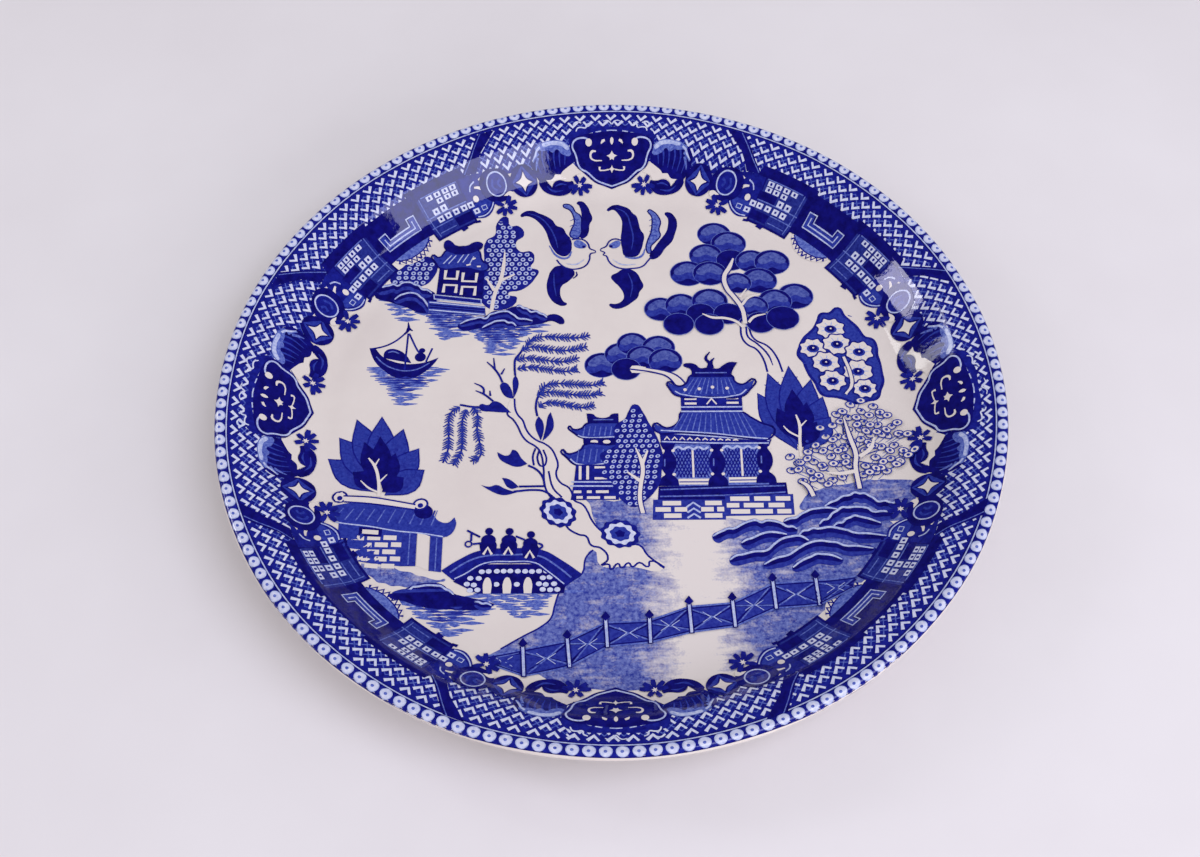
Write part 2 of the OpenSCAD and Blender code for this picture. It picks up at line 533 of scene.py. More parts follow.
COLUMNS = 136
pitch = 360 / COLUMNS
fill(line_blue, [strip([(0, 97), (pitch, 97), (pitch, 111.1), (0, 111.1)])], smooth=False)
zigzags = []
for r in (98, 102.25, 106.5, 110.75):
    zigzags.append(strip([(0, r), (pitch / 2, r + 2.1), (pitch, r)]))
    zigzags.append(strip([(0, r), (pitch / 2, r - 2.1), (pitch, r)]))
pen(middle, 0.5, zigzags[:-2], smooth=False)
pen(wash, 0.2, zigzags[:-2], smooth=False)
hooks = []
for row, r in enumerate((109.2, 107.1, 105, 102.9, 100.8, 98.7)):
    x = pitch * (0.5 if row % 2 else 0.02)
    hooks.append(strip([(x - 0.72, r + 1, 0.7), (x, r - 0.55, 1.15), (x + 0.85, r + 0.95, 1.1)]))
pen(pale, 0.86, hooks, smooth=False)
trellis = joined("trellis")
cut_in_steps(trellis, (0, 1, 0), 0.7, 97, 112)
round_the_plate(trellis, COLUMNS)

# Medallions -----------------------------------------------------------------------------------
# Four dark shields with a curled pale edge, each the head of a quarter of the border. Half of
# each motif is drawn, from the shield's axis to the middle of the fret, and then mirrored.


def lobed_star(x, y, tips, material, width):
    """A little flower of thick rounded petals from its centre to each tip, with a white heart."""
    petals = [strip([(x, y, 0.5), ((x + u * 2) / 3, (y + v * 2) / 3, 1.1), (u, v, 0.8)]) for u, v in tips]
    pen(material, width, petals)
    rays = []
    for i in range(3):
        a = pi * i / 3 + 0.3
        dx, dy = 0.95 * cos(a), 0.95 * sin(a)
        cx = x * ALONG
        rays.append([(cx - dx, y - dy, 0.3), (cx, y, 1.6), (cx + dx, y + dy, 0.3)])
    pen(china, 0.42, rays)


def motif(name, high=106):
    """Lays the marks drawn so far as eight mirrored copies."""
    piece = joined(name)
    cut_in_steps(piece, (0, 1, 0), 0.6, 84, high)
    cut_in_steps(piece, (1, 0, 0), 2, 2, 45 * ALONG)
    round_the_plate(piece, 4, mirrored=True, height=0.1, creep=(0.5, -0.7))


fill(line_blue, [strip([(0, 103, 0), (7.9, 102, 0), (7.4, 105.6), (4.6, 106.9), (1.6, 107),
                        (0, 106.7, 0)])])
pen(pale, 0.42, [
    strip([(3.8, 108.2, 0.8), (4.4, 107.7), (4.6, 106.7), (5.3, 106.9), (6, 106.8), (6.35, 105.7, 0.8)]),
    strip([(0, 107.6), (0.75, 108.9, 0.8), (1.5, 108.7, 0.5)]),
    strip([(5.3, 108.4, 0.6), (6, 108.9, 1.2), (6.7, 108.1, 1.2)])])
pen(faint, 0.35, [strip([(0, 105.5), (0.9, 105.4)]), strip([(1.9, 105.3), (2.9, 105)]),
                  strip([(3.4, 104.8), (4.4, 104.4)])])
fill(deep, [strip([
    (0, 89.2, 0), (1.8, 90.4), (3.4, 91.5), (4.9, 93.6), (5.8, 94.9), (6.9, 96.5), (7.3, 98.4),
    (7.8, 101.2), (7.5, 103), (6.2, 104.1), (4, 104.7), (0, 105.2, 0)])])
pen(faint, 0.5, [strip([
    (0, 90.2), (1.6, 91.1), (3, 92.1), (4.1, 93.6), (5, 94.9), (5.9, 95.6), (6.5, 96.9), (6.7, 98.5),
    (6.9, 99.7), (7.3, 101.3), (7.1, 102.4), (6.5, 103.2), (5.7, 103.5), (4.7, 103.3), (4.2, 102.6)])])
fill(china, [round_dot(4.25 * ALONG, 102.2, 1)])
fill(china, [
    strip([(0, 99.9, 0), (0.35, 99.1), (1, 98.7, 0), (0.45, 98.2), (0.35, 97.6, 0), (0, 97.9, 0)]),
    strip([(0, 96.3, 0), (0.25, 95.6), (0.8, 95.3, 0), (0.25, 95), (0, 94.2, 0)]),
    strip([(0, 103.4, 0), (0.28, 102.8), (0.15, 101.6), (0, 101.4, 0)])])
pen(china, 0.6, [
    strip([(3, 99.9, 0.6), (3.8, 99.8, 1.2), (4.05, 98.6), (3.7, 97.9, 0.7), (1.9, 97.5, 0.4)]),
    strip([(1.3, 102.6), (1.7, 102.3, 1.3), (2, 101.7, 0.4)]),
    strip([(0.6, 95.2, 0.6), (1.9, 95, 0.5), (2.4, 95.2, 0.8), (2.4, 96, 1.2)])])
motif("medallions", high=112)

# Scrolls and coins ----------------------------------------------------------------------------
# Beside each shield a feathered scroll curls over a white gap, then come a coin with a square
# hole, a ring and two small flowers.

fill(deep, [strip([
    (7.5, 97.6), (7.5, 99.5), (7.9, 101.6), (8.9, 103), (10.4, 103.7), (12, 103.6), (13.5, 103.1),
    (14.7, 101.9), (15.4, 100), (15.4, 97.5), (14.9, 95.2), (14.2, 93.6), (12, 93.4), (10, 94),
    (8.4, 96)])])
pen(middle, 0.55, [strip([
    (8.3 + 1.15 * i, 101.6 + 0.3 * i - 0.07 * i * i, 1.2), (8.8 + 1.1 * i, 99.6),
    (9.1 + 0.95 * i, 97.2 - 0.3 * i, 0.3)]) for i in range(6)])
fill(wash, [strip([(7.7, 99.6), (8, 101.9), (9.2, 103.3), (11.2, 103.7), (13.2, 103.2), (14.2, 101.9),
                   (12.2, 102), (11, 100.6), (10.2, 101.3), (9.4, 100)])])
fill(faint, [strip([(8, 100.9), (8.5, 102.4), (9.8, 103.3), (11.8, 103.4), (12.8, 102.8), (11, 102.5),
                    (9.4, 102)])])
pen(wash, 0.7, [
    strip([(11, 101.9, 0.5), (12.4, 101.8, 1.6), (13.8, 102.2, 1)]),
    strip([(13.7, 101, 1.4), (14.5, 100.1), (15, 99, 0.5)]),
    strip([(13.9, 99.9), (14.4, 98.4), (14.7, 96.9, 0.4)])])
pen(faint, 0.6, [strip([(13.2, 102.4), (13.9, 101.7), (14.3, 100.7), (15.1, 99.3, 0.4)])])
fill(china, [strip([
    (7.5, 97.4, 0), (8.8, 96.4), (9.7, 95.6), (10.1, 94.9, 0), (11.2, 95.1, 0), (12, 93.9), (13.2, 93.9, 0),
    (12.6, 92.6), (12.3, 91.6, 0), (11.7, 93.1), (10.4, 93.5), (9.2, 92.8), (8.3, 92.8), (7.8, 93.9),
    (6.2, 94.7, 0), (6.8, 96.1)])])
fill(deep, [strip([
    (7.9, 92.5), (8.6, 92.5), (9.4, 92.7), (10.4, 93.3), (11.6, 92.9), (12.3, 91.5, 0), (12.8, 92.7),
    (13.4, 94, 0), (14.6, 94), (14.5, 91.8), (13.8, 90.2), (12.5, 88.9), (10.6, 88.2), (9, 88.8),
    (8.1, 90.4)])])
pen(middle, 0.5, [strip([(9.3, 91.6, 0.3), (10.4, 92.1, 1.2), (11.7, 91.6, 0.3)]),
                  strip([(10.2, 89.9, 0.4), (12.2, 90.2, 1.5), (13.3, 92, 0.3)])])

coin_x, coin_y = 17.6 * ALONG, 94.6
fill(deep, [round_dot(coin_x, coin_y, 4.6)])
pen(middle, 1.1, [
    [(coin_x + reach * cos(a + on), coin_y + reach * sin(a + on), press)
     for on, reach, press in ((0, 4.1, 0.3), (pi / 4, 2.4, 1.2), (pi / 2, 4.1, 0.3))]
    for a in (0.1, 0.1 + pi / 2, 0.1 + pi, 0.1 - pi / 2)])
square = []
for i in range(4):
    a = 0.15 + pi / 2 * i
    square.append((coin_x + 2.75 * cos(a), coin_y + 2.75 * sin(a), 0))
    square.append((coin_x + 1.35 * cos(a + pi / 4), coin_y + 1.35 * sin(a + pi / 4)))
fill(china, [square])

fill(deep, [strip([(20, 93.5), (20.4, 98), (22.5, 100), (25.4, 99.5), (26.4, 96.5), (25.4, 92.4),
                   (22.5, 90.8)])])
ring_x = 23.05 * ALONG
fill(line_blue, [round_dot(ring_x, 96, 3)])
pen(middle, 0.7, [[(ring_x - 1.2, 95), (ring_x - 0.6, 96.3), (ring_x - 1.6, 97)],
                  [(ring_x + 0.4, 94.4), (ring_x + 1.5, 95.6), (ring_x + 0.9, 97.6)]])
pen(faint, 0.42, [round_dot(ring_x, 96, 3.2)], closed=True)
fill(china, [strip([(20.3, 92.7, 0), (21, 93.2), (22.4, 92.4, 0), (21.3, 91.7), (21, 91, 0),
                    (20.5, 91.6)])])
lobed_star(6.65, 91, [(4.1, 90.2), (4.9, 88.3), (6.6, 87.3), (8.5, 88.3), (9, 90.6), (5.4, 93.2),
                      (7.4, 93.9)], line_blue, 1.5)
lobed_star(22.8, 89, [(20.7, 87), (22.2, 85.6), (24, 85.8), (25.2, 87.6), (20.3, 89.6), (21.2, 91.8),
                      (24.6, 91.4)], line_blue, 1.5)
motif("scrolls_and_coins")

# Diagonal bars and fans -----------------------------------------------------------------------
# A dark bar crosses the trellis from the edge down to each lattice window, over a small fan.

fill(deep, [strip([
    (20.3, 111), (22, 108), (24, 105), (26, 100.5), (28.9, 100.9), (26.9, 103.7), (25, 107.6),
    (23.4, 111)])],
     smooth=False)
pen(wash, 0.25, [strip([(22.8, 111), (24.5, 107.6), (26.4, 103.8), (28.3, 101.1)])])
fill(line_blue, [strip([
    (24.9, 99.4), (26.5, 100.4), (30, 100.6, 0), (30.2, 95), (30.2, 89.2, 0), (28.9, 88.3), (27.6, 87.9),
    (26.1, 88.8), (25.1, 90.3), (24.4, 92.4), (25.6, 95.6)])])
fill(middle, [strip([(25.3, 92.6), (26.2, 90.6), (27.5, 89.4), (29.6, 89.8), (29.4, 92.4), (27.3, 93.4)])])
pen(faint, 0.38, [strip([(24.7, 92.2), (25.4, 90.7), (26.4, 89.4), (27.7, 88.7), (29.2, 89)]),
                  strip([(27.1, 98.7), (28.1, 98), (28.6, 96.7)])])
pen(china, 0.75, [strip([(26.1, 96.3, 1.2), (26.7, 96.9), (27.5, 97.3, 0.6)]),
                  strip([(25.4, 99, 0.8), (26.2, 98.7, 0.5)])])
fill(china, [round_dot(28 * ALONG, 94.4, 0.95)])
pen(faint, 0.35, [strip([(26.6, 90.5), (26.6, 91.8), (27.6, 91.8), (27.6, 90.5)])], smooth=False,
    closed=True)
motif("bars_and_fans", high=111)

# Lattice windows ------------------------------------------------------------------------------
# Eight blue panels under a dark lintel, pierced by small white squares with dark hearts.

window_blue = cobalt("cobalt_window", "#12186C", "#2C3890", 1.0, 0.2)
fill(deep, [strip([(28.3, 100.5), (40.3, 100.5), (40.3, 103.3), (28.8, 103.3)])], smooth=False)
fill(window_blue, [strip([(29.8, 87.7), (39.4, 87.7), (39.4, 100.8), (29.8, 100.8)])], smooth=False)
pen(deep, 1.1, [strip([(30, 87.9), (39.2, 87.9), (39.2, 100.6), (30, 100.6)])], smooth=False, closed=True)
fill(deep, [
    strip([(29.8, 95), (33.6, 95), (33.6, 97.2), (29.8, 97.2)]),
    strip([(29.8, 88.9), (33.8, 88.9), (33.8, 91.8), (29.8, 91.8)]),
    strip([(29.2, 86.9), (30.3, 87.3), (30.3, 88.1), (29.2, 87.9)]),
    strip([(32.3, 86.9), (33.7, 86.5), (33.9, 87.8), (32.6, 88.2)])], smooth=False)
pen(wash, 0.3, [strip([(30, 94.9), (39, 94.9)]), strip([(34, 91.9), (39, 91.9)]),
                strip([(38.4, 88.5), (38.4, 100.4)]),
                strip([(34.2, 89.6), (38, 89.6)]), strip([(30.4, 100.4), (38, 100.4)])], smooth=False)
windows = [(31.4, 99.5), (33, 99.5), (34.7, 99.5), (36.4, 99.5), (31.4, 98), (33, 98), (34.7, 97.9),
           (34.7, 95.8), (36.4, 95.8), (29.5, 93.4), (31, 93.4), (32.8, 93.4), (34.6, 93.4), (36.3, 93.4),
           (28.9, 91)]
panes = []
for x, r in windows:
    tall = 0.85 if r < 97 else 0.62
    panes.append(strip([(x - 0.62, r - tall), (x + 0.62, r - tall), (x + 0.62, r + tall),
                        (x - 0.62, r + tall)]))
fill(pale, panes, smooth=False)
fill(line_blue, [round_dot(x * ALONG, r, 0.4, n=6) for x, r in windows], steps=2)
motif("lattice_windows")

# Frets ----------------------------------------------------------------------------------------
# Between two windows a key-fret trough lies on a dark block, with half a daisy hanging under it.

fill(deep, [strip([(39.2, 90.5), (45, 90.5), (45, 102.2), (40.2, 102.2), (39.2, 100.6)])], smooth=False)
fill(middle, [strip([(41, 93.8), (45, 93.8), (45, 95.6), (42.3, 95.6), (42.1, 97.6), (40.9, 97.6)])],
     smooth=False)
pen(faint, 0.42, [
    strip([(45, 93.6), (41, 93.6), (40.8, 97.8), (42.5, 97.9), (42.6, 95.9), (45, 95.9)]),
    strip([(45, 94.75), (41.8, 94.75), (41.7, 96.8)])], smooth=False)
petal_edge = []
for i in range(9):
    a = 40.6 + 0.55 * i
    dip = 2.9 * sin(pi / 2 * i / 8)
    petal_edge.append((a, 89.6 - dip + (0.7 if i % 2 else -0.8)))
fill(china, [strip([(40.2, 90.5, 0), (40.4, 89.6), (42, 86.9), (45, 85.6, 0), (45, 90.5, 0)])])
fill(wash, [strip([(40.6, 90.6, 0), (41.3, 89.5), (43, 88.2), (45, 87.8, 0), (45, 90.6, 0)])])
pen(line_blue, 0.4, [strip([(40.6, 90.4), (41.4, 89.4), (43, 88.2), (45, 87.8)])])
pen(line_blue, 0.75, [strip(petal_edge + [(45, petal_edge[-1][1])])], smooth=False)
motif("frets")

# Centre print ---------------------------------------------------------------------------------
# The landscape in the well: a flat transfer that reaches a little way up the bend. It lies a
# touch low and to the right of the plate's centre. Its pieces are drawn in millimetres.

chance = Random(7)
layer = 0.004
shade = cobalt("cobalt_shade", "#191F80", "#33409F", 1.1, 0.2)


def centre(name, height=0.0, cut=False):
    """Lays the marks drawn so far in the well, raised over the pieces that lie under them."""
    piece = joined(name)
    if cut:
        for direction in ((1, 0, 0), (0, 1, 0)):
            for step, start, end in ((1.2, -90, -48), (3, -46, 46), (1.2, 48, 90)):
                cut_in_steps(piece, direction, step, start, end)
    mesh = piece.data
    places = [(v.co.x + 0.6, v.co.y * 0.994 - 0.9, v.co.z + height) for v in mesh.vertices]
    faces = [facing_up(places, list(polygon.vertices)) for polygon in mesh.polygons]
    lay(piece, places, faces, [polygon.material_index for polygon in mesh.polygons])


def dots(material, places, r, squash=1.0, turn=0.0, n=7):
    fill(material, [round_dot(x, y, r, squash, turn, n) for x, y in places], steps=3)


def ragged(points, amount=0.7, gap=2.0):
    """An outline with the torn edge of a patch of engraved dots."""
    torn = []
    for (ax, ay), (bx, by) in zip(points, points[1:] + points[:1]):
        steps = max(int(hypot(bx - ax, by - ay) / gap), 1)
        for i in range(steps):
            t = i / steps
            torn.append((ax + (bx - ax) * t + chance.uniform(-amount, amount),
                         ay + (by - ay) * t + chance.uniform(-amount, amount)))
    return torn


def streaks(left, right, tip, width, gap, material=wash):
    """Water under a shore: broken level strokes that draw in to a point."""
    rows = int((left[1] - tip[1]) / gap)
    lines = []
    for i in range(rows):
        t = (i / rows) ** 0.8
        y = left[1] - i * gap
        x = left[0] + (tip[0] - left[0]) * t + chance.uniform(-1.5, 1)
        end = right[0] + (tip[0] - right[0]) * t + chance.uniform(-1, 1.5)
        y += (right[1] - left[1]) * chance.uniform(0, 0.2)
        while x < end:
            run = chance.uniform(2.5, 8)
            lines.append([(x, y, 0.3), (x + run / 2, y + chance.uniform(-0.2, 0.2), 1.2),
                          (x + run, y, 0.2)])
            x += run * chance.uniform(0.8, 1.2)
    pen(material, width, lines, steps=2)


# Water ----------------------------------------------------------------------------------------
# Broken level strokes under each shore and under the boat.

streaks((-74, 46), (-57, 41), (-66, 35.5), 0.9, 0.8)
streaks((-61, 39.5), (-44, 38.5), (-53, 28), 1.0, 0.8)
streaks((-47, 34), (-23, 34), (-37, 22), 1.0, 0.8)
streaks((-76, 18), (-53, 17), (-64.3, 3.5), 0.9, 0.8)
streaks((-63, -61), (-33, -63.5), (-46, -74), 1.0, 0.8)
streaks((-40, -59.5), (-15, -60), (-26, -69), 0.9, 0.8)
for left, right, tip in (((-59, 39), (-46, 38.5), (-53, 32)), ((-71, 14), (-58, 13.5), (-64, 8)),
                         ((-43, 33), (-27, 33), (-37, 26)), ((-55, -64), (-40, -65), (-48, -70))):
    streaks(left, right, tip, 0.7, 0.9, shade)
centre("water", cut=True)

# Ground ---------------------------------------------------------------------------------------
# Stippled banks from the temple down to the fence and below it. The engraved dots thin out to a
# bare white path, and in small patches elsewhere.


def bank_ink():
    """Blue dots in clouds over white: dense on the banks, thinning in level streaks to bare china
    on the path."""
    material, tree = new_material("bank_stipple")
    place = node(tree, "ShaderNodeTexCoord").outputs["Object"]
    level = node(tree, "ShaderNodeMapping", {"Vector": place, "Scale": (0.22, 1, 1)}).outputs["Vector"]
    apart = node(tree, "ShaderNodeSeparateXYZ", {"Vector": place})
    path_x, bare, grown = 23.5 * MM, 1 * MM, 17 * MM
    across = node(tree, "ShaderNodeMath", {0: apart.outputs["X"], 1: path_x}, operation="SUBTRACT")
    off_path = node(tree, "ShaderNodeMath", {0: across.outputs[0]}, operation="ABSOLUTE")
    bank = node(tree, "ShaderNodeMapRange", {
        "Value": off_path.outputs[0], "From Min": bare, "From Max": grown})
    total = bank.outputs["Result"]
    for where, grain, share in ((place, 0.55, 0.6), (level, 1.3, 0.95), (place, 5, 1.1)):
        cloud = node(tree, "ShaderNodeTexNoise", {
            "Vector": where, "Scale": 1 / (grain * MM), "Detail": 3.0})
        part = node(tree, "ShaderNodeMath", {0: cloud.outputs["Fac"], 1: share}, operation="MULTIPLY")
        total = node(tree, "ShaderNodeMath", {0: total, 1: part.outputs[0]}, operation="ADD").outputs[0]
    cover = node(tree, "ShaderNodeMapRange", {"Value": total, "From Min": 1.6, "From Max": 2.32})
    blue = mottle(tree, "#2B3690", "#7480BE", 1.0, 0.16)
    gloss(tree, node(tree, "ShaderNodeMix", {
        0: cover.outputs["Result"], 6: linear("#DCD4D0"), 7: blue}, data_type="RGBA").outputs[2])
    return material


stipple = bank_ink()
shore = [(-6, -46.5), (-8, -49), (-9, -54), (-12, -56.5), (-15, -59.5), (-16.5, -64), (-17.5, -68),
         (-20, -70.5), (-25, -73.5), (-31, -77.3)]
fill(stipple, [shore + [
    (-37, -81, 0), (-28, -84), (-22, -84.5), (-17, -87.5), (-6, -90), (6, -90.5), (18, -88), (28, -86.5),
    (38, -82), (48, -76), (57, -67), (66, -60), (70, -57), (74, -52), (77, -46), (80, -42), (76, -36),
    (60, -36), (44, -38), (30, -36), (24, -36.5), (12, -37), (0, -37), (-6, -36, 0), (-4, -40), (3, -45),
    (7, -45.4), (9.5, -48.5), (14.5, -52.6, 0), (4, -51.8), (-4, -51.5)]])
fill(stipple, [[(-13, -29.5), (-8, -30), (-6, -35.8, 0), (0, -37.5), (14, -37.5), (14, -30, 0), (6, -29),
                (0, -30.5)]])
fill(stipple, [ragged([(56, -28), (62, -26), (70, -24), (80, -23.5), (87, -25), (87, -31), (82, -38),
                       (60, -36), (53, -33)], 0.4)])
fill(stipple, [ragged([(-74, -50), (-62, -52), (-55, -54.5), (-47, -56), (-56, -58.5), (-66, -57)], 0.4)])
pen(line_blue, 0.5, [shore])
centre("ground", 0.02, cut=True)

# Two birds ------------------------------------------------------------------------------------
# A pair of swallows that meet over the island: dark swept wings and tails, pale bodies.

for wing in (
    [(-29.8, 79), (-29, 80.8), (-26, 81.5), (-24, 80.5), (-22, 79.5), (-19.5, 77.5), (-18, 75), (-16, 74),
     (-14.8, 71.5), (-13.5, 69.5), (-13, 66), (-13.5, 63.5), (-15, 62), (-17, 62.5), (-19, 65), (-20.5, 69),
     (-21.5, 72.5), (-23.5, 76), (-26, 78.5), (-28, 79.2)],
    [(-11.6, 84.8), (-10.2, 85.6), (-8.2, 83.7), (-7.2, 81), (-6.4, 77.8), (-7.3, 75.5), (-7.6, 72),
     (-8.6, 70), (-10, 69.5), (-10.3, 73), (-9.9, 78), (-10.8, 83.7)],
    [(-17.5, 58), (-19.5, 56), (-20.3, 53.5), (-20.8, 49), (-19.5, 44.5), (-17.5, 42.3), (-15.5, 41.6),
     (-14.3, 42.4), (-15.5, 43.5), (-16.5, 48), (-15.8, 50), (-14, 51.5), (-12, 55.5), (-14, 57)],
    [(-1.5, 81.3), (-0.5, 83.3), (1.5, 84), (3.5, 83.4), (5.5, 82.3), (6.8, 80.3), (8, 79), (8.6, 76.5),
     (9.3, 73), (10.3, 71), (10, 67.5), (9.3, 64.5), (8, 62), (6, 61.5), (4, 62), (3.2, 65), (2.8, 69),
     (3.2, 74), (3.2, 77), (2, 80), (0.3, 81.8)],
    [(17.3, 80.3), (18.7, 80.6), (20.3, 79), (21.2, 76), (20.3, 71), (19.3, 68), (17, 65), (15.3, 62),
     (13.5, 60.6), (12.2, 60.8), (14, 66), (15.7, 69), (17.5, 72), (18.2, 75), (18.2, 78)],
    [(3.5, 56.5), (6, 56.3), (8, 54.5), (9, 52), (9.8, 49.5), (8.5, 47), (8, 45), (6, 42.8), (4, 41.2),
     (1.5, 40.3), (-0.5, 41), (-1, 42.2), (1, 42.3), (3, 43.5), (3.6, 45.5), (2, 49.5), (0.5, 51.3),
     (-0.4, 53.5), (1.5, 55)]):
    fill(deep, [wing])
for wing in (
    [(-16, 83.8), (-14.5, 84.3), (-13, 83.3), (-12, 81), (-10.3, 79.3), (-10, 75), (-10.2, 71),
     (-11.5, 69.5), (-13.5, 70.5), (-13.3, 73), (-12.3, 76), (-12.6, 79), (-13.6, 81.5)],
    [(12, 81.7), (13.5, 81), (15, 79), (15.8, 76.5), (15.2, 73), (15.6, 70.5), (14, 68), (12.5, 66),
     (12, 63), (11, 64.5), (11.5, 68.5), (12.5, 71.5), (13, 75), (13, 78.5)]):
    fill(wash, [wing])
    pen(deep, 0.45, [wing], closed=True)
    cx = sum(p[0] for p in wing) / len(wing)
    pen(middle, 0.4, [[(cx - 1.2, y, 0.4), (cx + 0.4, y + 0.7), (cx + 1.3, y, 0.4)]
                      for y in (70, 72.3, 74.6, 77)])
pen(wash, 0.8, [[(-20.3, 66.5, 0.4), (-17.5, 61.9), (-14.5, 61.2), (-13, 64, 0.5)],
                [(4, 61.6, 0.4), (6.5, 61), (9.3, 61.8), (10.6, 65, 0.4)]])
pen(middle, 0.5, [[(-27.5, 80.4, 0.4), (-24, 78.9), (-21, 75.5), (-18.5, 70), (-17.5, 65.5, 0.4)],
                  [(1.2, 82.6, 0.4), (4.4, 80.4), (6, 75), (6.8, 69.5), (6.2, 64.6, 0.4)],
                  [(-18.6, 55, 0.4), (-18.4, 50), (-17.7, 45.5, 0.4)],
                  [(5, 54.8, 0.4), (6.3, 50), (5.6, 45, 0.4)]])
pen(line_blue, 0.55, [
    [(-13, 69), (-11, 69.3), (-9, 68.7), (-7.7, 67), (-7.2, 65.2), (-5.3, 63.7, 0.6), (-6.9, 63),
     (-7.3, 60.5), (-8.5, 58), (-11, 56.7), (-14, 56.8), (-16.5, 58.5), (-17.8, 60.5)],
    [(3, 68.5), (1, 69.2), (-0.8, 68.3), (-2, 66), (-3.8, 64.5, 0.6), (-2.4, 63.3), (-2.9, 62.5, 0.6),
     (-1.9, 62), (-1.2, 60), (0.5, 57.8), (3, 56.7), (6, 56.7), (9.5, 57.5), (11.5, 60), (12.5, 61.5)]])
fill(wash, [[(-11.5, 68.8), (-9.3, 67.8), (-8.3, 66), (-10.2, 65.2), (-12.3, 66.6)]])
fill(wash, [[(2.2, 68.4), (0.3, 67.8), (-1, 66), (0.8, 65.2), (2.6, 66.6)]])
dots(deep, [(-9.1, 65.9), (-0.4, 66)], 0.55)
pen(faint, 0.5, [[(-9, 60.5, 0.4), (-11.5, 58.6), (-14.6, 58.8, 0.4)],
                 [(0.2, 60.5, 0.4), (3, 58.4), (7.5, 58.5, 0.4)]])
pen(deep, 0.6, [[(-11.5, 55.5, 0.5), (-11.3, 54), (-12.5, 52.7, 0.5)]])
centre("birds", 0.02, cut=True)

# Island house ---------------------------------------------------------------------------------
# A two-storeyed house on a small island, between rocks, with a net-leaved tree behind it.


def net_crown(outline, gap, r, squash=1.0):
    """A dark crown, netted over with small pale leaves in offset rows."""
    fill(line_blue, [outline])
    low, high = min(p[1] for p in outline), max(p[1] for p in outline)
    row, leaves = 0, []
    y = low + gap * 0.6
    while y < high - gap * 0.2:
        crossings = []
        for (ax, ay), (bx, by) in zip(outline, outline[1:] + outline[:1]):
            if (ay <= y) != (by <= y):
                crossings.append(ax + (bx - ax) * (y - ay) / (by - ay))
        crossings.sort()
        for start, end in zip(crossings[::2], crossings[1::2]):
            x = start + r + 0.35 + (gap / 2 if row % 2 else 0)
            while x < end - r - 0.2:
                leaves.append((x + chance.uniform(-0.12, 0.12), y + chance.uniform(-0.12, 0.12)))
                x += gap
        y += gap * 0.86
        row += 1
    dots(faint, leaves, r * 0.95, squash, 0.5)
    dots(shade, leaves, r * 0.42, squash, 0.5, 5)


def knobbly(line):
    """The line with a small knob between each two of its points."""
    bumpy = [line[0]]
    for (ax, ay), (bx, by) in zip(line, line[1:]):
        bumpy += [((ax + bx) / 2, (ay + by) / 2 + chance.uniform(0.15, 0.65)), (bx, by)]
    return bumpy


def rock_ridges(lines, width=0.75, body=3.2):
    """A wave-like rock: each pale ridge has a dark body under it and lighter hatching."""
    lines = [knobbly(line) for line in lines]
    for line in lines:
        ends = (0, len(line) - 1)
        under = [(x, y - body * (0.35 if j in ends else 1)) for j, (x, y) in enumerate(line)]
        core = [(x, y - body * (0.2 if j in ends else 0.55)) for j, (x, y) in enumerate(line)]
        fill(shade, [[(x, y + 0.5) for x, y in line] + under[::-1]])
        fill(deep, [[(x, y - 0.2) for x, y in line] + core[::-1]])
    pen(faint, width, [[(x, y, 0.6 if i in (0, len(line) - 1) else 1) for i, (x, y) in enumerate(line)]
                       for line in lines])


net_crown([(-41, 43), (-41, 60), (-40.5, 69), (-38, 71), (-37.5, 76), (-34.5, 79), (-33, 75), (-30.5, 75),
           (-28.5, 71), (-31, 68), (-29.5, 64), (-26, 64), (-25, 60), (-26, 57.5), (-23.5, 56), (-24.5, 53),
           (-26, 50.5), (-29, 48), (-33, 46.5), (-30, 45), (-35, 40)], 2.25, 0.82)
net_crown([(-70, 51), (-70, 54), (-67, 57), (-64, 60.5), (-59, 62), (-56, 59), (-57, 53), (-60, 50)],
          2.2, 0.8)
pen(china, 1.2, [[(-38, 39), (-37, 47), (-35.5, 52), (-34.7, 58), (-34.5, 64, 0.3)],
                 [(-35.5, 52), (-31, 54.5, 0.4)],
                 [(-37.3, 48), (-40, 53, 0.4)]])
fill(deep, [[(-75, 46), (-73, 48.2), (-70.5, 50), (-65, 51.5), (-62.5, 50.5), (-60, 48.5), (-56, 47),
             (-57, 40), (-60, 39), (-64, 41), (-70, 43.5)]])
rock_ridges([[(-74, 47.8), (-70.5, 50), (-68, 50), (-65, 51.5), (-62.5, 50.5), (-60, 48.5), (-57, 47)],
             [(-68.5, 44.5), (-65.5, 46.8), (-62.5, 47), (-60.5, 45.5), (-58.5, 43), (-57.5, 40.8)]], 0.6)
fill(deep, [[(-48, 33), (-47, 35.5), (-43, 37), (-40, 37.5), (-37.5, 39.5), (-34, 40), (-30.5, 41.5),
             (-28, 41), (-23.5, 39.5), (-21, 37.5), (-19.5, 38.2), (-17, 38), (-15, 35.5), (-15.5, 34.3),
             (-19, 35.6), (-22, 34.6), (-30, 33.5), (-40, 33)]])
rock_ridges([[(-47.5, 34.6), (-43, 36.7), (-39.5, 36.7), (-37, 38.7), (-34, 39.5), (-31.5, 38.5),
              (-29.5, 36.7), (-25, 35.7)],
             [(-30, 41.3), (-28, 40.8), (-25.5, 39.2), (-22.5, 38.5), (-20.5, 37)],
             [(-40.5, 33), (-38, 34.7), (-35, 35.8), (-32.5, 35), (-30, 33.7)]], 0.6, 2.4)
fill(middle, [[(-58, 44, 0), (-40, 41.5, 0), (-39.6, 37.8, 0), (-57.8, 39.6, 0)]])
pen(faint, 0.45, [[(-57.5, 43.3), (-40, 41.1)], [(-57.5, 40.3), (-40, 38.3)]], smooth=False)
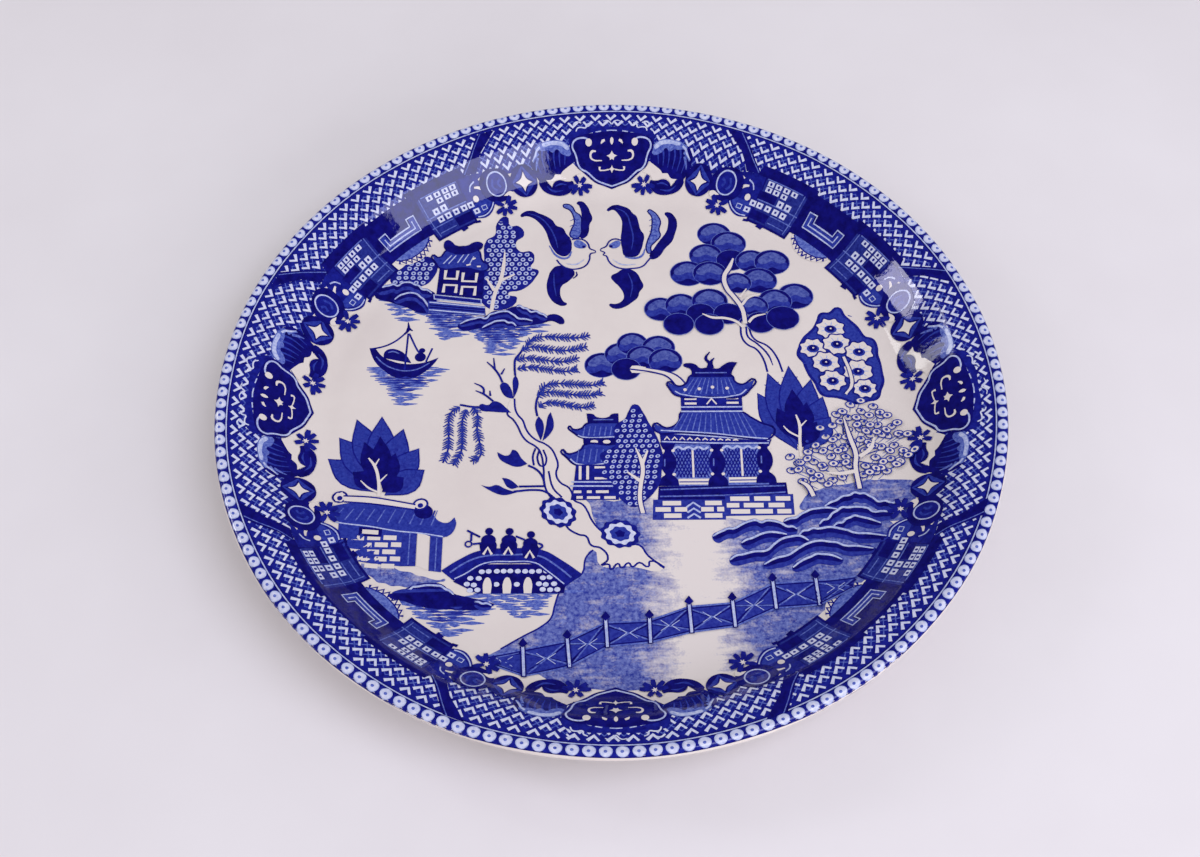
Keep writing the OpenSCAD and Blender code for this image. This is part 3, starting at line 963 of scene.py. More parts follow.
pen(deep, 0.5, [[(-57.5, 42.2), (-40, 40.2)], [(-57.5, 41.3), (-40, 39.3)]], smooth=False)
fill(deep, [[(-55, 57.8, 0), (-40.8, 57, 0), (-41, 44.5, 0), (-55.5, 46.5, 0)]])
pen(china, 1.0, [
    [(-53, 56.3), (-53.2, 52.9), (-49.4, 52.7), (-49.2, 56.1)],
    [(-47.4, 55.3), (-47.6, 51.8), (-43.3, 51.6), (-43.1, 55.1)],
    [(-53.4, 47.2), (-53.2, 50.3), (-49.3, 50.1), (-49.5, 47)],
    [(-47.7, 46.2), (-47.5, 49.5), (-43.3, 49.3), (-43.5, 45.9)]],
    smooth=False)
fill(line_blue, [[(-56.3, 46.5, 0), (-41.3, 44.4, 0), (-41.2, 42.5, 0), (-56, 44.6, 0)]])
pen(faint, 0.5, [[(-56.3, 46.3), (-41.3, 44.2), (-41.2, 42.5), (-56, 44.6)]], smooth=False, closed=True)
island_roof = [(-53, 64.8), (-55.5, 61.6), (-57.6, 62.6, 0), (-56.4, 59.3), (-55, 57.2), (-47, 57.3),
               (-40, 56.3), (-39.7, 58.5, 0), (-41.5, 60), (-43.3, 64.8)]
fill(middle, [island_roof])
pen(deep, 0.6, [[point[:2] for point in island_roof]], closed=True)
pen(faint, 0.35, [[(-54, 59), (-51.5, 62.5)], [(-52.3, 59), (-50, 62.5)], [(-49.5, 59.3), (-47.6, 63)],
                  [(-47.8, 59.5), (-46, 63)], [(-45.6, 58.8), (-44.4, 62)]], smooth=False)
fill(deep, [[(-54.2, 67.5), (-53, 68.8), (-51.5, 68), (-50.5, 66.8), (-46.5, 66.7), (-45, 67.8),
             (-43, 68.2), (-41.6, 67), (-43.3, 64.2), (-53, 64.2)]])
pen(china, 0.6, [[(-44.8, 60.8), (-43.8, 61.3)], [(-46.6, 58.3), (-45.2, 58.7)],
                 [(-43.2, 57.8), (-42, 57.8)]])
centre("island_house", 0.04, cut=True)

# Boat -----------------------------------------------------------------------------------------
# A small boat with a bent mast, a cabin and a boatman.

fill(deep, [[(-74.9, 25.4, 0), (-73, 20.5), (-70, 17), (-66.5, 14.3), (-63, 13.5), (-60, 14.2), (-57, 16.5),
             (-54.5, 19.5), (-53.4, 21.6, 0), (-57, 20), (-60, 19.3), (-64, 19.3), (-67.5, 20.3),
             (-70.5, 22), (-73, 25.2, 0)]])
fill(deep, [[(-70.3, 21.5, 0), (-70, 24), (-68.5, 25), (-66, 24.6), (-63.4, 22.6), (-61.6, 19.5, 0)]])
pen(wash, 0.4, [[(-72.5, 22), (-70, 19.3), (-66.5, 17.3), (-63, 16.6), (-59.5, 17.3), (-56, 19.6)],
                [(-69, 23.6), (-67.5, 24), (-65.6, 23.2)]])
pen(line_blue, 0.6, [[(-63.5, 17), (-63.3, 31)], [(-74.5, 25), (-71, 25.8), (-68, 27.3), (-65.5, 29.5),
                                                  (-63.8, 31.7)],
                     [(-63, 31), (-61.5, 27.5), (-59.8, 24), (-57.6, 21)], [(-57.2, 20), (-55.5, 25.2)]])
pen(deep, 0.9, [[(-64.4, 30.6, 0.5), (-63.4, 32.5, 1.3), (-63.6, 35.4, 0.3)],
                [(-63.4, 33, 1.2), (-62, 32, 0.4)]])
dots(deep, [(-59, 21.8)], 1.7)
dots(deep, [(-58.6, 24.3)], 0.95)
centre("boat", 0.02)

# Willow ---------------------------------------------------------------------------------------
# A leaning bare trunk with buds, two ringed blossoms and feathery hanging fronds.

trunk_left = [(-31.7, 2), (-31.5, 0), (-30, -1.5), (-28.5, -4), (-27, -7.5), (-25.5, -9.5), (-23, -11.3),
              (-21.7, -13), (-20.5, -18.5), (-20, -25), (-18.5, -28.5), (-14.5, -33), (-13.7, -38.5),
              (-10, -41.5), (-8, -42), (-6.5, -45), (-3.7, -46), (-1.8, -49.5), (-3.7, -51.5)]
trunk_right = [(-29.7, 6), (-29.3, 2), (-28.5, 0), (-27, -2), (-26, -5), (-24.5, -7.5), (-22.5, -9.3),
               (-20.5, -10.3), (-18.5, -12), (-17, -15), (-16.3, -18), (-16.8, -21), (-15.5, -24),
               (-13, -25.8), (-12, -28), (-11.5, -30), (-9, -31.5), (-7.5, -34), (-6.5, -36.5), (-4, -40),
               (3, -45), (7, -45), (9.5, -48.5), (14, -52.3)]
fill(china, [trunk_left + [(0, -51.5), (5, -52)] + trunk_right[::-1]])
pen(line_blue, 0.6, [trunk_left, trunk_right])
pen(line_blue, 0.6, [[(-21.8, -12.5), (-22.3, -16), (-20.8, -18.3), (-19.7, -16.5), (-20.7, -12.5)],
                     [(-23, -12), (-23.7, -15), (-23.3, -18)], [(-19, -20), (-17.5, -26), (-15, -29)],
                     [(-3.5, -51.5), (-1.5, -51.3), (-1, -52.8), (1, -51), (2, -52.3), (4, -50.8), (5, -52),
                      (7, -50.7), (9.5, -52), (10, -50.3), (14, -52.5)]])
for bud in (
    [(-34, 11.5), (-32.8, 12), (-31, 10), (-30, 6, 0), (-32, 6.5), (-33.8, 9)],
    [(-30.3, 10), (-30.3, 13.5), (-29.6, 14.7, 0), (-28.8, 13), (-28.7, 10), (-30, 6, 0)],
    [(-40, 2.2), (-39.8, 4), (-37.5, 3.7), (-36, 5), (-34.5, 4.8), (-32, 2.5), (-30.5, 0.8, 0), (-36, 1.2)],
    [(-23, -2), (-22.3, -0.5, 0), (-21, -2.5), (-20.7, -6), (-21.5, -9.3, 0), (-23.2, -4)],
    [(-20, -4), (-19.5, -0.5), (-18.7, 1, 0), (-17.7, -4), (-18.8, -7), (-21, -9.5, 0)],
    [(-34.2, -13.3, 0), (-31, -14.5), (-29.8, -12.5, 0), (-28.8, -12.7), (-27, -15.5), (-25.2, -17.5, 0),
     (-28, -18.5), (-31, -17.5), (-33.5, -15.5)],
    [(-38.5, -24.7, 0), (-36, -25.3), (-34, -24.7), (-31.5, -26), (-28, -27.3, 0), (-32, -28.2),
     (-35.5, -26.8)],
    [(-32.5, -22.3, 0), (-31, -22.5), (-28.5, -24.3), (-27.5, -25.5, 0), (-30, -26)]):
    fill(line_blue, [bud])
pen(line_blue, 0.7, [
    [(-25, -18), (-22.5, -19.5), (-20.7, -22), (-20, -25)], [(-27.5, -25.3), (-20, -25.2)],
    [(-29, -27), (-23, -26.5), (-20, -27), (-17, -29.5)], [(-36, 5), (-39, 7.7), (-41.5, 9, 0.5)],
    [(-39, 7.7), (-39.3, 10), (-42, 11.8, 0.5)], [(-37, 7), (-37.2, 9, 0.5)],
    [(-33.5, 12), (-34.5, 14.5), (-36, 17), (-38.5, 19.8, 0.6)],
    [(-36, 17), (-36.5, 21.3, 0.5)], [(-34, 15), (-33, 17.3, 0.5)],
    [(-29.7, 14.5), (-30, 18), (-29.8, 21), (-28.5, 23), (-27.3, 25.5)],
    [(-22.7, -0.5), (-23.2, 3), (-22.5, 7), (-21, 10)], [(-46, 3.8), (-42, 3), (-39, 3)]])
fronds = [
    [(-26.5, 26), (-25, 28.3), (-21, 29.4), (-15, 29), (-10, 29), (-7, 30)],
    [(-28, 24.3), (-25, 25.5), (-18, 24.2), (-14, 24), (-7.8, 25.5)],
    [(-29.5, 20.5), (-26.5, 21.3), (-19, 20), (-15, 19.7), (-10.2, 21.3)],
    [(-29, 17), (-26, 17.8), (-18, 16.5), (-14, 16), (-10.7, 17)],
    [(-22, 9), (-20, 11), (-16, 11.5), (-6, 10.8), (-2.5, 12)],
    [(-22.8, 7), (-20, 8.3), (-12, 7.3), (-5, 7.3), (-3.2, 8.3)],
    [(-22.3, 2.7), (-20.5, 4.3), (-17, 4.3), (-9, 2.5), (-5.5, 3.5)],
    [(-46, 3), (-48.5, 1), (-49, -3), (-48.7, -8), (-48.8, -13), (-50, -17)],
    [(-44, 2), (-45, -2), (-44.7, -8), (-44.8, -13), (-47, -18)],
    [(-42, 2.8), (-40.5, 0), (-40.5, -5), (-39.5, -10), (-39.3, -15), (-42, -16.5)]]
pen(line_blue, 0.55, fronds)
feathers = []
for frond in fronds:
    for (ax, ay), (bx, by) in zip(frond, frond[1:]):
        length = hypot(bx - ax, by - ay)
        ux, uy = (bx - ax) / length, (by - ay) / length
        for i in range(max(int(length / 0.85), 1)):
            t = (i + chance.random() * 0.3) * 0.85
            x, y = ax + ux * t, ay + uy * t
            reach = chance.uniform(1.2, 1.75)
            for side in (1, -1):
                end = (x + ux * 1.1 - side * uy * reach, y + uy * 1.1 + side * ux * reach, 0.4)
                feathers.append([(x, y), end])
pen(middle, 0.66, feathers, smooth=False, steps=1)
for x, y, lean in ((-16.2, -34, -0.7), (1.5, -41.3, -0.25)):
    for material, reach, dip, count in ((line_blue, 5.9, 0.9, 22), (pale, 4.6, 0.85, 18),
                                        (middle, 3.1, 0.86, 14), (deep, 1.5, 0.8, 10)):
        ring = []
        for i in range(count):
            u = reach * (1 if i % 2 else dip) * cos(2 * pi * i / count)
            v = reach * (1 if i % 2 else dip) * sin(2 * pi * i / count) * 0.8
            ring.append((x + 0.2 + u * cos(lean) - v * sin(lean), y + u * sin(lean) + v * cos(lean)))
        fill(material, [ring])
centre("willow", 0.06)

# Gate house and bridge ------------------------------------------------------------------------
# A brick gate house under a broad bush, and a low bridge of three arches with three figures,
# over a rock in the water.


def leaf_shape(base, tip, width):
    """A pointed leaf from its base to its tip."""
    (ax, ay), (bx, by) = base, tip
    widest = 0.55
    mx, my = ax + (bx - ax) * widest, ay + (by - ay) * widest
    length = hypot(bx - ax, by - ay)
    nx, ny = -(by - ay) / length * width / 2, (bx - ax) / length * width / 2
    return [(ax, ay, 0), (mx + nx, my + ny), (bx, by, 0), (mx - nx, my - ny)]


def bush(stem, spears, hearts, twigs):
    """Broad pointed leaves round a pale stem, with dark hearts and veins, and darker leaves in
    front."""
    for base, tip in spears:
        leaf = leaf_shape(base, tip, 8.2)
        fill(middle, [leaf])
        pen(line_blue, 0.45, [leaf], closed=True)
        fill(shade, [leaf_shape(base, (base[0] + 0.72 * (tip[0] - base[0]),
                                       base[1] + 0.72 * (tip[1] - base[1])), 4.4)])
        veins = []
        for t in (0.3, 0.42, 0.54, 0.66, 0.76):
            x, y = base[0] + (tip[0] - base[0]) * t, base[1] + (tip[1] - base[1]) * t
            ux, uy = (tip[0] - base[0]) / 22, (tip[1] - base[1]) / 22
            spread = 2.9 * (1 - abs(t - 0.5) * 1.5)
            for side in (1, -1):
                end = (x + ux * 2.2 - side * uy * spread, y + uy * 2.2 + side * ux * spread, 0.4)
                veins.append([(x, y), end])
        pen(shade, 0.6, [[base, (*tip, 0.4)]] + veins, steps=2)
    for base, tip in hearts:
        fill(deep, [leaf_shape(base, tip, 6)])
    pen(china, 0.9, [stem], steps=4)
    pen(china, 0.6, twigs)


bush([(-67.8, -28.5), (-68.3, -23), (-69.8, -18), (-71.8, -15.2, 0.5)],
     [((-68, -27), (-83.6, -15.5)), ((-68, -25), (-81, -8)), ((-68, -24), (-76.4, -1.5)),
      ((-68, -24), (-69, -0.5)), ((-67, -25), (-62.3, -5)), ((-66, -26), (-57.3, -12)),
      ((-66, -28), (-55.3, -19.5))],
     [((-68, -26), (-76, -20)), ((-68, -25), (-73.5, -9.5)), ((-67, -25), (-69, -7.5)),
      ((-67, -26), (-64, -13.5)), ((-67, -27), (-61, -22))],
     [[(-69.8, -18), (-68.7, -15.5, 0.5)], [(-68, -23.5), (-66, -21, 0.5)],
      [(-68.3, -27), (-71, -25.5), (-73.5, -23, 0.5)]])
centre("left_bush", 0.04, cut=True)

fill(middle, [[(-78.5, -36.5, 0), (-60, -39, 0), (-60, -51.5, 0), (-78, -49.5, 0)]])
bricks = []
for row in range(5):
    for i in range(5):
        x, y = -79.2 + 4.6 * i + (2.3 if row % 2 else 0), -41.4 - 2.3 * row
        if x < -63:
            bricks.append([(x, y), (x + 3.7, y - 0.15), (x + 3.7, y - 1.65), (x, y - 1.5)])
fill(china, bricks, smooth=False)
fill(deep, [[(-72.6, -38.6, 0), (-66, -39.2, 0), (-66, -42, 0), (-72.6, -41.6, 0)]])
fill(china, [[(-71.6, -39.4, 0), (-67, -39.8, 0), (-67, -41.2, 0), (-71.6, -40.8, 0)]])
fill(shade, [[(-60.2, -38.5, 0), (-56, -38.5, 0), (-55.8, -51.5, 0), (-60.2, -51.5, 0)],
                 [(-52.2, -39, 0), (-48.6, -39, 0), (-48.5, -53.5, 0), (-52, -53, 0)]])
pen(wash, 0.35, [[(-58, -40), (-57.9, -51)], [(-50.3, -41), (-50.2, -53)]])
fill(china, [[(-55.8, -39.5, 0), (-52.4, -39.5, 0), (-52.2, -53, 0), (-55.6, -51.3, 0)]])
fill(middle, [[(-84, -33.4, 0), (-79, -31.2), (-72, -30.5), (-64, -31.5), (-58, -32.4), (-52, -34.6),
               (-50, -36.8), (-47.5, -37.4), (-45.6, -35.6, 0), (-45, -38), (-47.5, -42), (-57, -40.2),
               (-62, -39.6), (-70, -38), (-78.7, -37), (-81, -35)]])
tiles = [((-80 + 3.1 * i, -36 - 0.25 * i), (-77.6 + 3.0 * i, -32.4 - 0.1 * i)) for i in range(10)]
pen(shade, 0.5, [[(x - 0.7, y) for x, y in tile] for tile in tiles], smooth=False)
pen(wash, 0.4, [[low, (*high, 0.6)] for low, high in tiles], smooth=False)
pen(faint, 0.4, [[(-79.5, -37.3), (-70, -38.4), (-62, -40), (-55, -40.8), (-48.5, -42)]])
fill(deep, [[(-57, -34.5), (-56.5, -31.8), (-53, -31.8), (-52, -34.6), (-54, -36)]])
for x, y in ((-79, -28.6), (-55.6, -31.2)):
    fill(china, [round_dot(x, y, 2, 0.85, 0.3)])
    pen(line_blue, 0.6, [round_dot(x, y, 2, 0.85, 0.3)], closed=True)
    fill(line_blue, [round_dot(x, y - 0.4, 0.8)])
ridge = [(-78, -28.2), (-70, -28.7), (-64, -29.8), (-57, -31.3), (-57.2, -33), (-70, -30.9), (-77.6, -30.2)]
fill(china, [ridge], smooth=False)
pen(line_blue, 0.5, [ridge[:4], ridge[4:]])
centre("gate_house", 0.09, cut=True)

fill(deep, [[(-63, -61), (-60, -59.8), (-56, -57.6), (-52, -56.8), (-48, -57.3), (-45, -60), (-40, -61.5),
             (-33, -63.5, 0), (-35, -64.8), (-45, -65.2), (-54, -64.2), (-58, -62.7)]])
rock_ridges([[(-62, -61), (-57, -59), (-55, -58), (-49.5, -57.7), (-47, -58.8), (-44.5, -60.8)],
             [(-54.5, -63.5), (-50, -61), (-45, -62.4), (-42, -63.7)],
             [(-39, -62.9), (-36.5, -63.4), (-34, -64)]], 0.6, 2.2)
fill(deep, [[(-45, -56.5, 0), (-37, -51, 0), (-22, -51, 0), (-13.6, -57.5, 0), (-14, -60.3, 0),
             (-38, -60.3, 0)]])
arches = (-35.4, -29.9, -24.1)
pebbles = []
for row, y in enumerate((-53.3, -55.4, -57.4, -59.2)):
    x = -41 + (1.0 if row % 2 else 0) - (0 if row else -4)
    while x < (-17 + 0.9 * row if row < 3 else -15):
        if y > -54 or all(abs(x - arch) > 2.3 for arch in arches):
            pebbles.append((x + chance.uniform(-0.2, 0.2), y + chance.uniform(-0.2, 0.2)))
        x += 2.0
dots(pale, pebbles, 0.85, 0.85)
for x in arches:
    fill(deep, [[(x - 1.7, -60.3, 0), (x - 1.7, -56.3), (x, -54.4), (x + 1.7, -56.3), (x + 1.7, -60.3, 0)]])
    fill(china, [[(x - 1.05, -60.3, 0), (x - 1.05, -56.6), (x, -55.2), (x + 1.05, -56.6),
                  (x + 1.05, -60.3, 0)]])
fill(line_blue, [[(-48.5, -53, 0), (-44, -49.7), (-38, -46.6), (-29, -45.9), (-20.5, -46.4), (-14.5, -50),
                  (-9, -54.3, 0), (-13.8, -58, 0), (-20, -53), (-22, -51.3), (-29, -50.8), (-36.5, -51.2),
                  (-42, -55), (-44.8, -56.2, 0)]])
pen(wash, 0.5, [[(-46, -53.6), (-42, -50.6), (-37.5, -48.6), (-29, -48), (-21, -48.5), (-16, -51.8),
                 (-12, -55.4)]])
pen(faint, 0.35, [[(-44.6, -55.6), (-42, -54.2), (-36.5, -50.7), (-29, -50.2), (-22, -50.7), (-19, -53),
                   (-14, -57.4)]])
for x, y in ((-35.6, -43.2), (-29.8, -43.3), (-23.7, -44.4)):
    fill(deep, [round_dot(x, y, 2.1, 0.85)])
    fill(deep, [[(x - 2, y - 0.5), (x + 2, y - 0.5), (x + 1.9, y - 4.6, 0), (x - 1.9, y - 4.6, 0)]])
    fill(deep, [round_dot(x + 0.1, y + 2.9, 1.15)])
    pen(china, 0.7, [[(x - 1.3, y - 4.7), (x - 0.1, y - 2.4), (x + 1.1, y - 4.7)]], smooth=False)
pen(line_blue, 0.65, [[(-41.8, -40), (-38, -42.2)], [(-40.5, -41), (-40.5, -43.5)],
                      [(-40, -44.5), (-37.5, -44.2)],
                      [(-27.9, -42), (-25.3, -43.2)], [(-21.5, -44.3), (-20.3, -45.2), (-21.2, -46.2)]])
pen(line_blue, 0.5, [round_dot(-41.2, -44.5, 0.9)], closed=True)
centre("bridge", 0.06)

# Cloud trees ----------------------------------------------------------------------------------
# Two pines with their needles in rounded clouds, dark below and lighter on top.


cloud_blue = cobalt("cobalt_cloud", "#28338A", "#5F6CB0", 1.0, 0.2)


def clouds(lobes):
    """Rounded clumps from the back to the front, each outlined and shaded from below. A clump
    marked as dark lies in shadow, with no lighter top."""
    for x, y, r, *dark in lobes:
        r *= 1.1
        fill(wash, [round_dot(x, y, r + 0.2, 0.9, n=10)])
        fill(deep, [round_dot(x, y, r, 0.9, n=10)])
        if dark:
            continue
        for material, low, high, wide in ((shade, -0.45, 0.78, 0.9), (cloud_blue, 0.02, 0.74, 0.8)):
            fill(material, [[
                (x - r * wide, y + r * low),
                (x - r * 0.72 * wide, y + r * (low + high) * 0.62),
                (x, y + r * high),
                (x + r * 0.72 * wide, y + r * (low + high) * 0.62),
                (x + r * wide, y + r * low),
                (x + r * 0.45, y + r * (low - 0.12)),
                (x, y + r * (low + 0.06)),
                (x - r * 0.45, y + r * (low - 0.14))]])


fill(china, [[(39.7, 34), (40, 28.5), (41.5, 26), (44, 24.3), (46, 20.5), (47, 15.5, 0), (51.6, 15.5, 0),
              (50, 21.5), (47.5, 25.5), (44, 27.8), (42.7, 30.3), (42.6, 36)]])
pen(line_blue, 0.65, [[(39.9, 37), (39.7, 33), (40, 28.5), (41.5, 26), (44, 24.3), (46, 20.5), (47, 15.5)],
                      [(42.4, 37), (42.7, 30.3), (44, 27.8), (47.5, 25.5), (50, 21.5), (51.6, 15.5)],
                      [(41.4, 33), (41.8, 29), (44.4, 26.4), (47.6, 22), (48.8, 18, 0.5)]])
clouds([
    (33, 71, 4.8), (37.5, 67, 5), (30, 62, 4.7), (38, 60, 4.2, "dark"), (44.5, 59.5, 4.5), (51, 59, 5),
    (24, 54.5, 5), (31, 54.5, 4.8), (46.5, 51.5, 5), (39.5, 50.5, 4), (57.5, 45, 5), (51, 43, 4.7),
    (15, 40, 4.5), (21.5, 41.5, 4.5), (30.5, 43, 5), (44.5, 41, 3.8), (27.5, 38, 4.01, "dark"),
    (36, 38, 4.01, "dark"), (20.5, 34, 4.2, "dark"), (30, 33.8, 4.01, "dark"), (46, 34.5, 4.02, "dark"),
    (53, 36.2, 4.51, "dark")])
pen(line_blue, 2.1, [[(41.2, 35), (40.5, 40), (38.3, 44.5), (36.2, 48), (35.5, 53), (37.4, 57),
                      (38.7, 60.5, 0.5)]])
pen(china, 1.3, [[(41.2, 34), (40.5, 40), (38.3, 44.5), (36.2, 48), (35.5, 53), (37.4, 57),
                  (38.7, 60.5, 0.4)]])
pen(china, 0.9, [[(28, 38, 0.4), (31, 36.5), (35, 36.2), (38.5, 34.8), (40.5, 32.5)],
                 [(42.3, 34.5), (44, 36.6), (47.7, 37.8, 0.4)],
                 [(40.6, 41.5), (43, 44.6), (46.5, 45.5, 0.4)], [(40, 44.5), (42.3, 48, 0.4)]])
centre("tall_cloud_tree", 0.02)

clouds([(-3.5, 18.4, 4.6), (2.3, 22.5, 4.3), (6, 26.5, 4.2), (14, 25, 4.5), (9, 21.3, 4.3),
        (16, 20, 4.6), (4, 16.8, 4.01, "dark")])
fill(china, [[(5, 16.8), (13, 15.5), (16.5, 14), (19.5, 10), (22.2, 10.5), (20.5, 13), (17.5, 15.2),
              (12, 17)]])
pen(line_blue, 0.55, [[(5, 16.8), (13, 15.3), (16.5, 13.8), (19.3, 10)],
                      [(10, 17.4), (17.5, 15.4), (20.5, 13.2), (22.2, 10.5)]])
centre("low_cloud_tree", 0.02)

# Right bank trees -----------------------------------------------------------------------------
# A pointed bush, a tree of scalloped blossoms, and a tree of small ringed leaves on a pale trunk.

bush([(55, -15.5), (55, -10), (55.3, -4), (54.5, -0.5, 0.5)],
     [((54, -13), (43.5, 7.5)), ((54, -12), (47, 15)), ((54.5, -11), (53.5, 17.6)),
      ((55, -11), (59.9, 12.5)), ((56, -12), (63, 6)), ((56, -13), (64.7, -1.4))],
     [((54.5, -10), (49, 2)), ((54.5, -8), (54, 9)), ((55.5, -9), (58, 4)), ((55.5, -12), (60.5, -3))],
     [[(55, -8.5), (52, -6.5), (50.5, -4.5, 0.5)], [(55.3, -5), (57.5, -2.5, 0.5)]])
centre("right_bush", 0.04)

cloth = ragged([(57, 25), (60, 31), (65, 37), (70, 39.5), (74, 35), (78, 29), (81, 25), (82, 19), (81, 12),
                (80, 8), (77, 4), (70, 5), (63, 6), (60, 14), (58, 19)], 0.9, 2.4)
fill(middle, [cloth])
pen(line_blue, 0.9, [cloth], closed=True)
pen(middle, 0.4, [[(x + u, y + v), (x + u + 1.2, y + v - 0.4, 0.5)]
                  for x, y in ((64, 34), (72, 36), (59, 20), (79, 17), (70, 29), (71, 20))
                  for u, v in ((0, 0), (1.4, 1.2), (-1, -1.2))], steps=2)
for x, y, r in ((67.5, 32, 4.6), (61.5, 24.5, 4.2), (69, 26, 4.5), (75.5, 23, 4.6), (65, 19, 4.5),
                (74.5, 15.5, 4.8), (66.5, 12, 4.3), (76, 9, 3.9)):
    petals = []
    for i in range(16):
        a = 2 * pi * (i + chance.uniform(-0.12, 0.12)) / 16
        reach = r * chance.uniform(0.97, 1.06) * (1.0 if i % 2 else 0.84)
        petals.append((x + reach * cos(a), y + 0.92 * reach * sin(a)))
    fill(china, [petals])
    pen(line_blue, 0.5, [petals], closed=True)
    creases = []
    for a in [2 * pi * i / 9 for i in range(9)]:
        outer = (x + r * 0.7 * cos(a), y + r * 0.6 * sin(a), 0.4)
        creases.append([(x + 1.8 * cos(a), y + 1.5 * sin(a)), outer])
    pen(faint, 0.4, creases, steps=2)
    fill(middle, [round_dot(x, y - 0.2, 1.9, 0.8)])
    fill(deep, [round_dot(x, y, 1.25, 0.9)])
    dots(china, [(x + 0.1, y + 0.1)], 0.3)
pen(china, 1.0, [[(70.5, 21), (72, 15), (72, 10), (70, 7)]])
pen(line_blue, 0.3, [[(70, 21), (71.4, 15), (71.4, 10), (69.4, 7)],
                     [(71.2, 21), (72.7, 15), (72.7, 10), (70.6, 7)]])
centre("blossom_tree", 0.03, cut=True)

leaves = [(51.7, -15.5), (54, -17.8), (51.8, -20.3), (54.8, -24), (57, -10.5), (59.8, -13), (58.5, -17.3),
          (60, -23.5), (63.5, -23.7), (62.7, -8.5), (66.3, -8.5), (64.3, -12.3), (63.8, -15.5), (66, -18),
          (68, -12), (65, -4.5), (66.5, -0.5), (69.8, -1.7), (69.5, -6), (73, -5.8), (73, -9.5),
          (74.5, -3.5), (76, -8), (78.5, -4.5), (79.5, -1), (74, 0.5), (77.8, 2.3), (71, 3), (82.5, -5),
          (81, -8.2), (85, -8.3), (78.8, -12.3), (82.5, -11.8), (85, -15), (83.5, -18), (81, -16.5),
          (76.7, -16), (76.3, -21), (73.5, -19), (72.5, -22), (79.5, -20.8), (73.8, -13.5), (61.2, -19.5),
          (57.4, -20.9), (68, -15.8), (61.3, -5.5), (76.6, -11.9), (68.8, -18.8), (66.7, -21.8),
          (79.2, -7.9), (57, -14.1)]
pen(middle, 0.4, [[(71, -17), (66, -13), (60, -13, 0.5)], [(71, -14), (68, -7), (70, 1, 0.5)],
                  [(71, -13), (77, -8), (79, 1, 0.5)],
                  [(71, -16), (79, -13), (85, -12, 0.5)], [(56, -29), (57, -22), (54, -16, 0.5)],
                  [(71, -17), (77, -18), (83, -17, 0.5)]])
leaves += [(x + chance.uniform(1.6, 3.2), y + chance.uniform(-2.4, 2.4)) for x, y in leaves[:44]]
pen(wash, 0.3, [[(x, y), (x + (70 - x) * 0.28, y - 2.6, 0.5)] for x, y in leaves], steps=2)
for x, y in leaves:
    turn = chance.uniform(-0.6, 0.6)
    fill(china, [round_dot(x, y, 1.35, 0.72, turn, 6)], steps=2)
    pen(middle, 0.38, [round_dot(x, y, 1.4, 0.72, turn, 6)], closed=True, steps=2)
dots(middle, leaves, 0.48, n=5)
pen(line_blue, 2.0, [[(71, -27), (70.5, -19), (71, -15.5), (69.7, -9), (68.5, -2, 0.4)],
                     [(54, -24.5, 0.5), (56, -26), (57.5, -29.5)]])
pen(china, 1.2, [[(71, -27), (70.5, -19), (71, -15.5), (69.7, -9), (68.5, -2, 0.3)],
                 [(72, -16), (75.5, -13), (77, -9, 0.4)],
                 [(70.3, -21), (66, -21.8), (62, -21.5, 0.4)],
                 [(54, -24.5, 0.5), (56, -26), (57.5, -29.5)]])
centre("ringed_leaf_tree", 0.05, cut=True)

# Temple and pagoda ----------------------------------------------------------------------------
# The temple has two curled roofs, three baluster columns and a brick terrace. A small pagoda and
# a net-leaved tree stand beside it.


def roof(outline, tiles, eaves):
    """A curled roof: dark edged, with rows of lighter tiles and a pale eaves line."""
    fill(middle, [outline])
    pen(deep, 0.65, [[p[:2] for p in outline]], closed=True)
    pen(wash, 0.42, tiles, steps=2)
    pen(faint, 0.4, [eaves])


roof([(-13.2, -4.2, 0), (-12, -5.3), (-9.5, -5), (-8, -3.3), (-3, -2.8), (1.3, -3), (2.3, -5), (1.2, -8.4),
      (-9, -8.4), (-11.5, -6.8)],
     [[(x, -7.6), (x + 0.5, -4.2, 0.5)] for x in (-9, -7.4, -5.8, -4.2, -2.6, -1)],
     [(-10.5, -7.4), (-9, -8.1), (1, -8)])
fill(deep, [[(-9, -8.4, 0), (1, -8.4, 0), (1, -11.2, 0), (-8.8, -11.2, 0)]])
dots(china, [(-5.7, -9.8), (-2, -9.8)], 1.15, 0.55)
roof([(-15.2, -12.6, 0), (-13.5, -14), (-11.5, -13.7), (-9.5, -12.4), (-8.5, -10.8), (-2, -10.9), (1, -11),
      (1, -17.6), (-11, -17.9), (-13.5, -15.6)],
     [[(x, -17), (x + 0.6, -12.4, 0.5)] for x in (-10.8, -9, -7.2, -5.4, -3.6, -1.8)],
     [(-12.7, -15.8), (-10.8, -17.5), (0, -17.2)])
fill(line_blue, [[(-11, -17.8, 0), (1, -17.8, 0), (1.5, -30, 0), (-12.5, -30, 0), (-11.5, -23.5, 0)]])
pen(china, 0.8, [[(-9.8, -18.3), (-9.8, -23)], [(-7.6, -18.3), (-7.6, -23)],
                 [(-5.6, -18.8), (-1.5, -18.8), (-1.5, -22.6), (-5.6, -22.6)]],
    smooth=False)
pen(faint, 0.5, [[(-12.3, -23.8), (1.3, -23.9)], [(-12.6, -25.2), (1.4, -25.3)]], smooth=False)
pen(china, 0.9, [[(-11.6, -27.2), (-9.4, -27.2)], [(-7.8, -27.2), (-6.4, -27.2)],
                 [(-5.2, -27.2), (-1.5, -27.2)], [(-10.8, -29.1), (-9, -29.1)],
                 [(-7.8, -29.2), (-4, -29.2)], [(-2.8, -29.2), (0.5, -29.2)]], smooth=False)
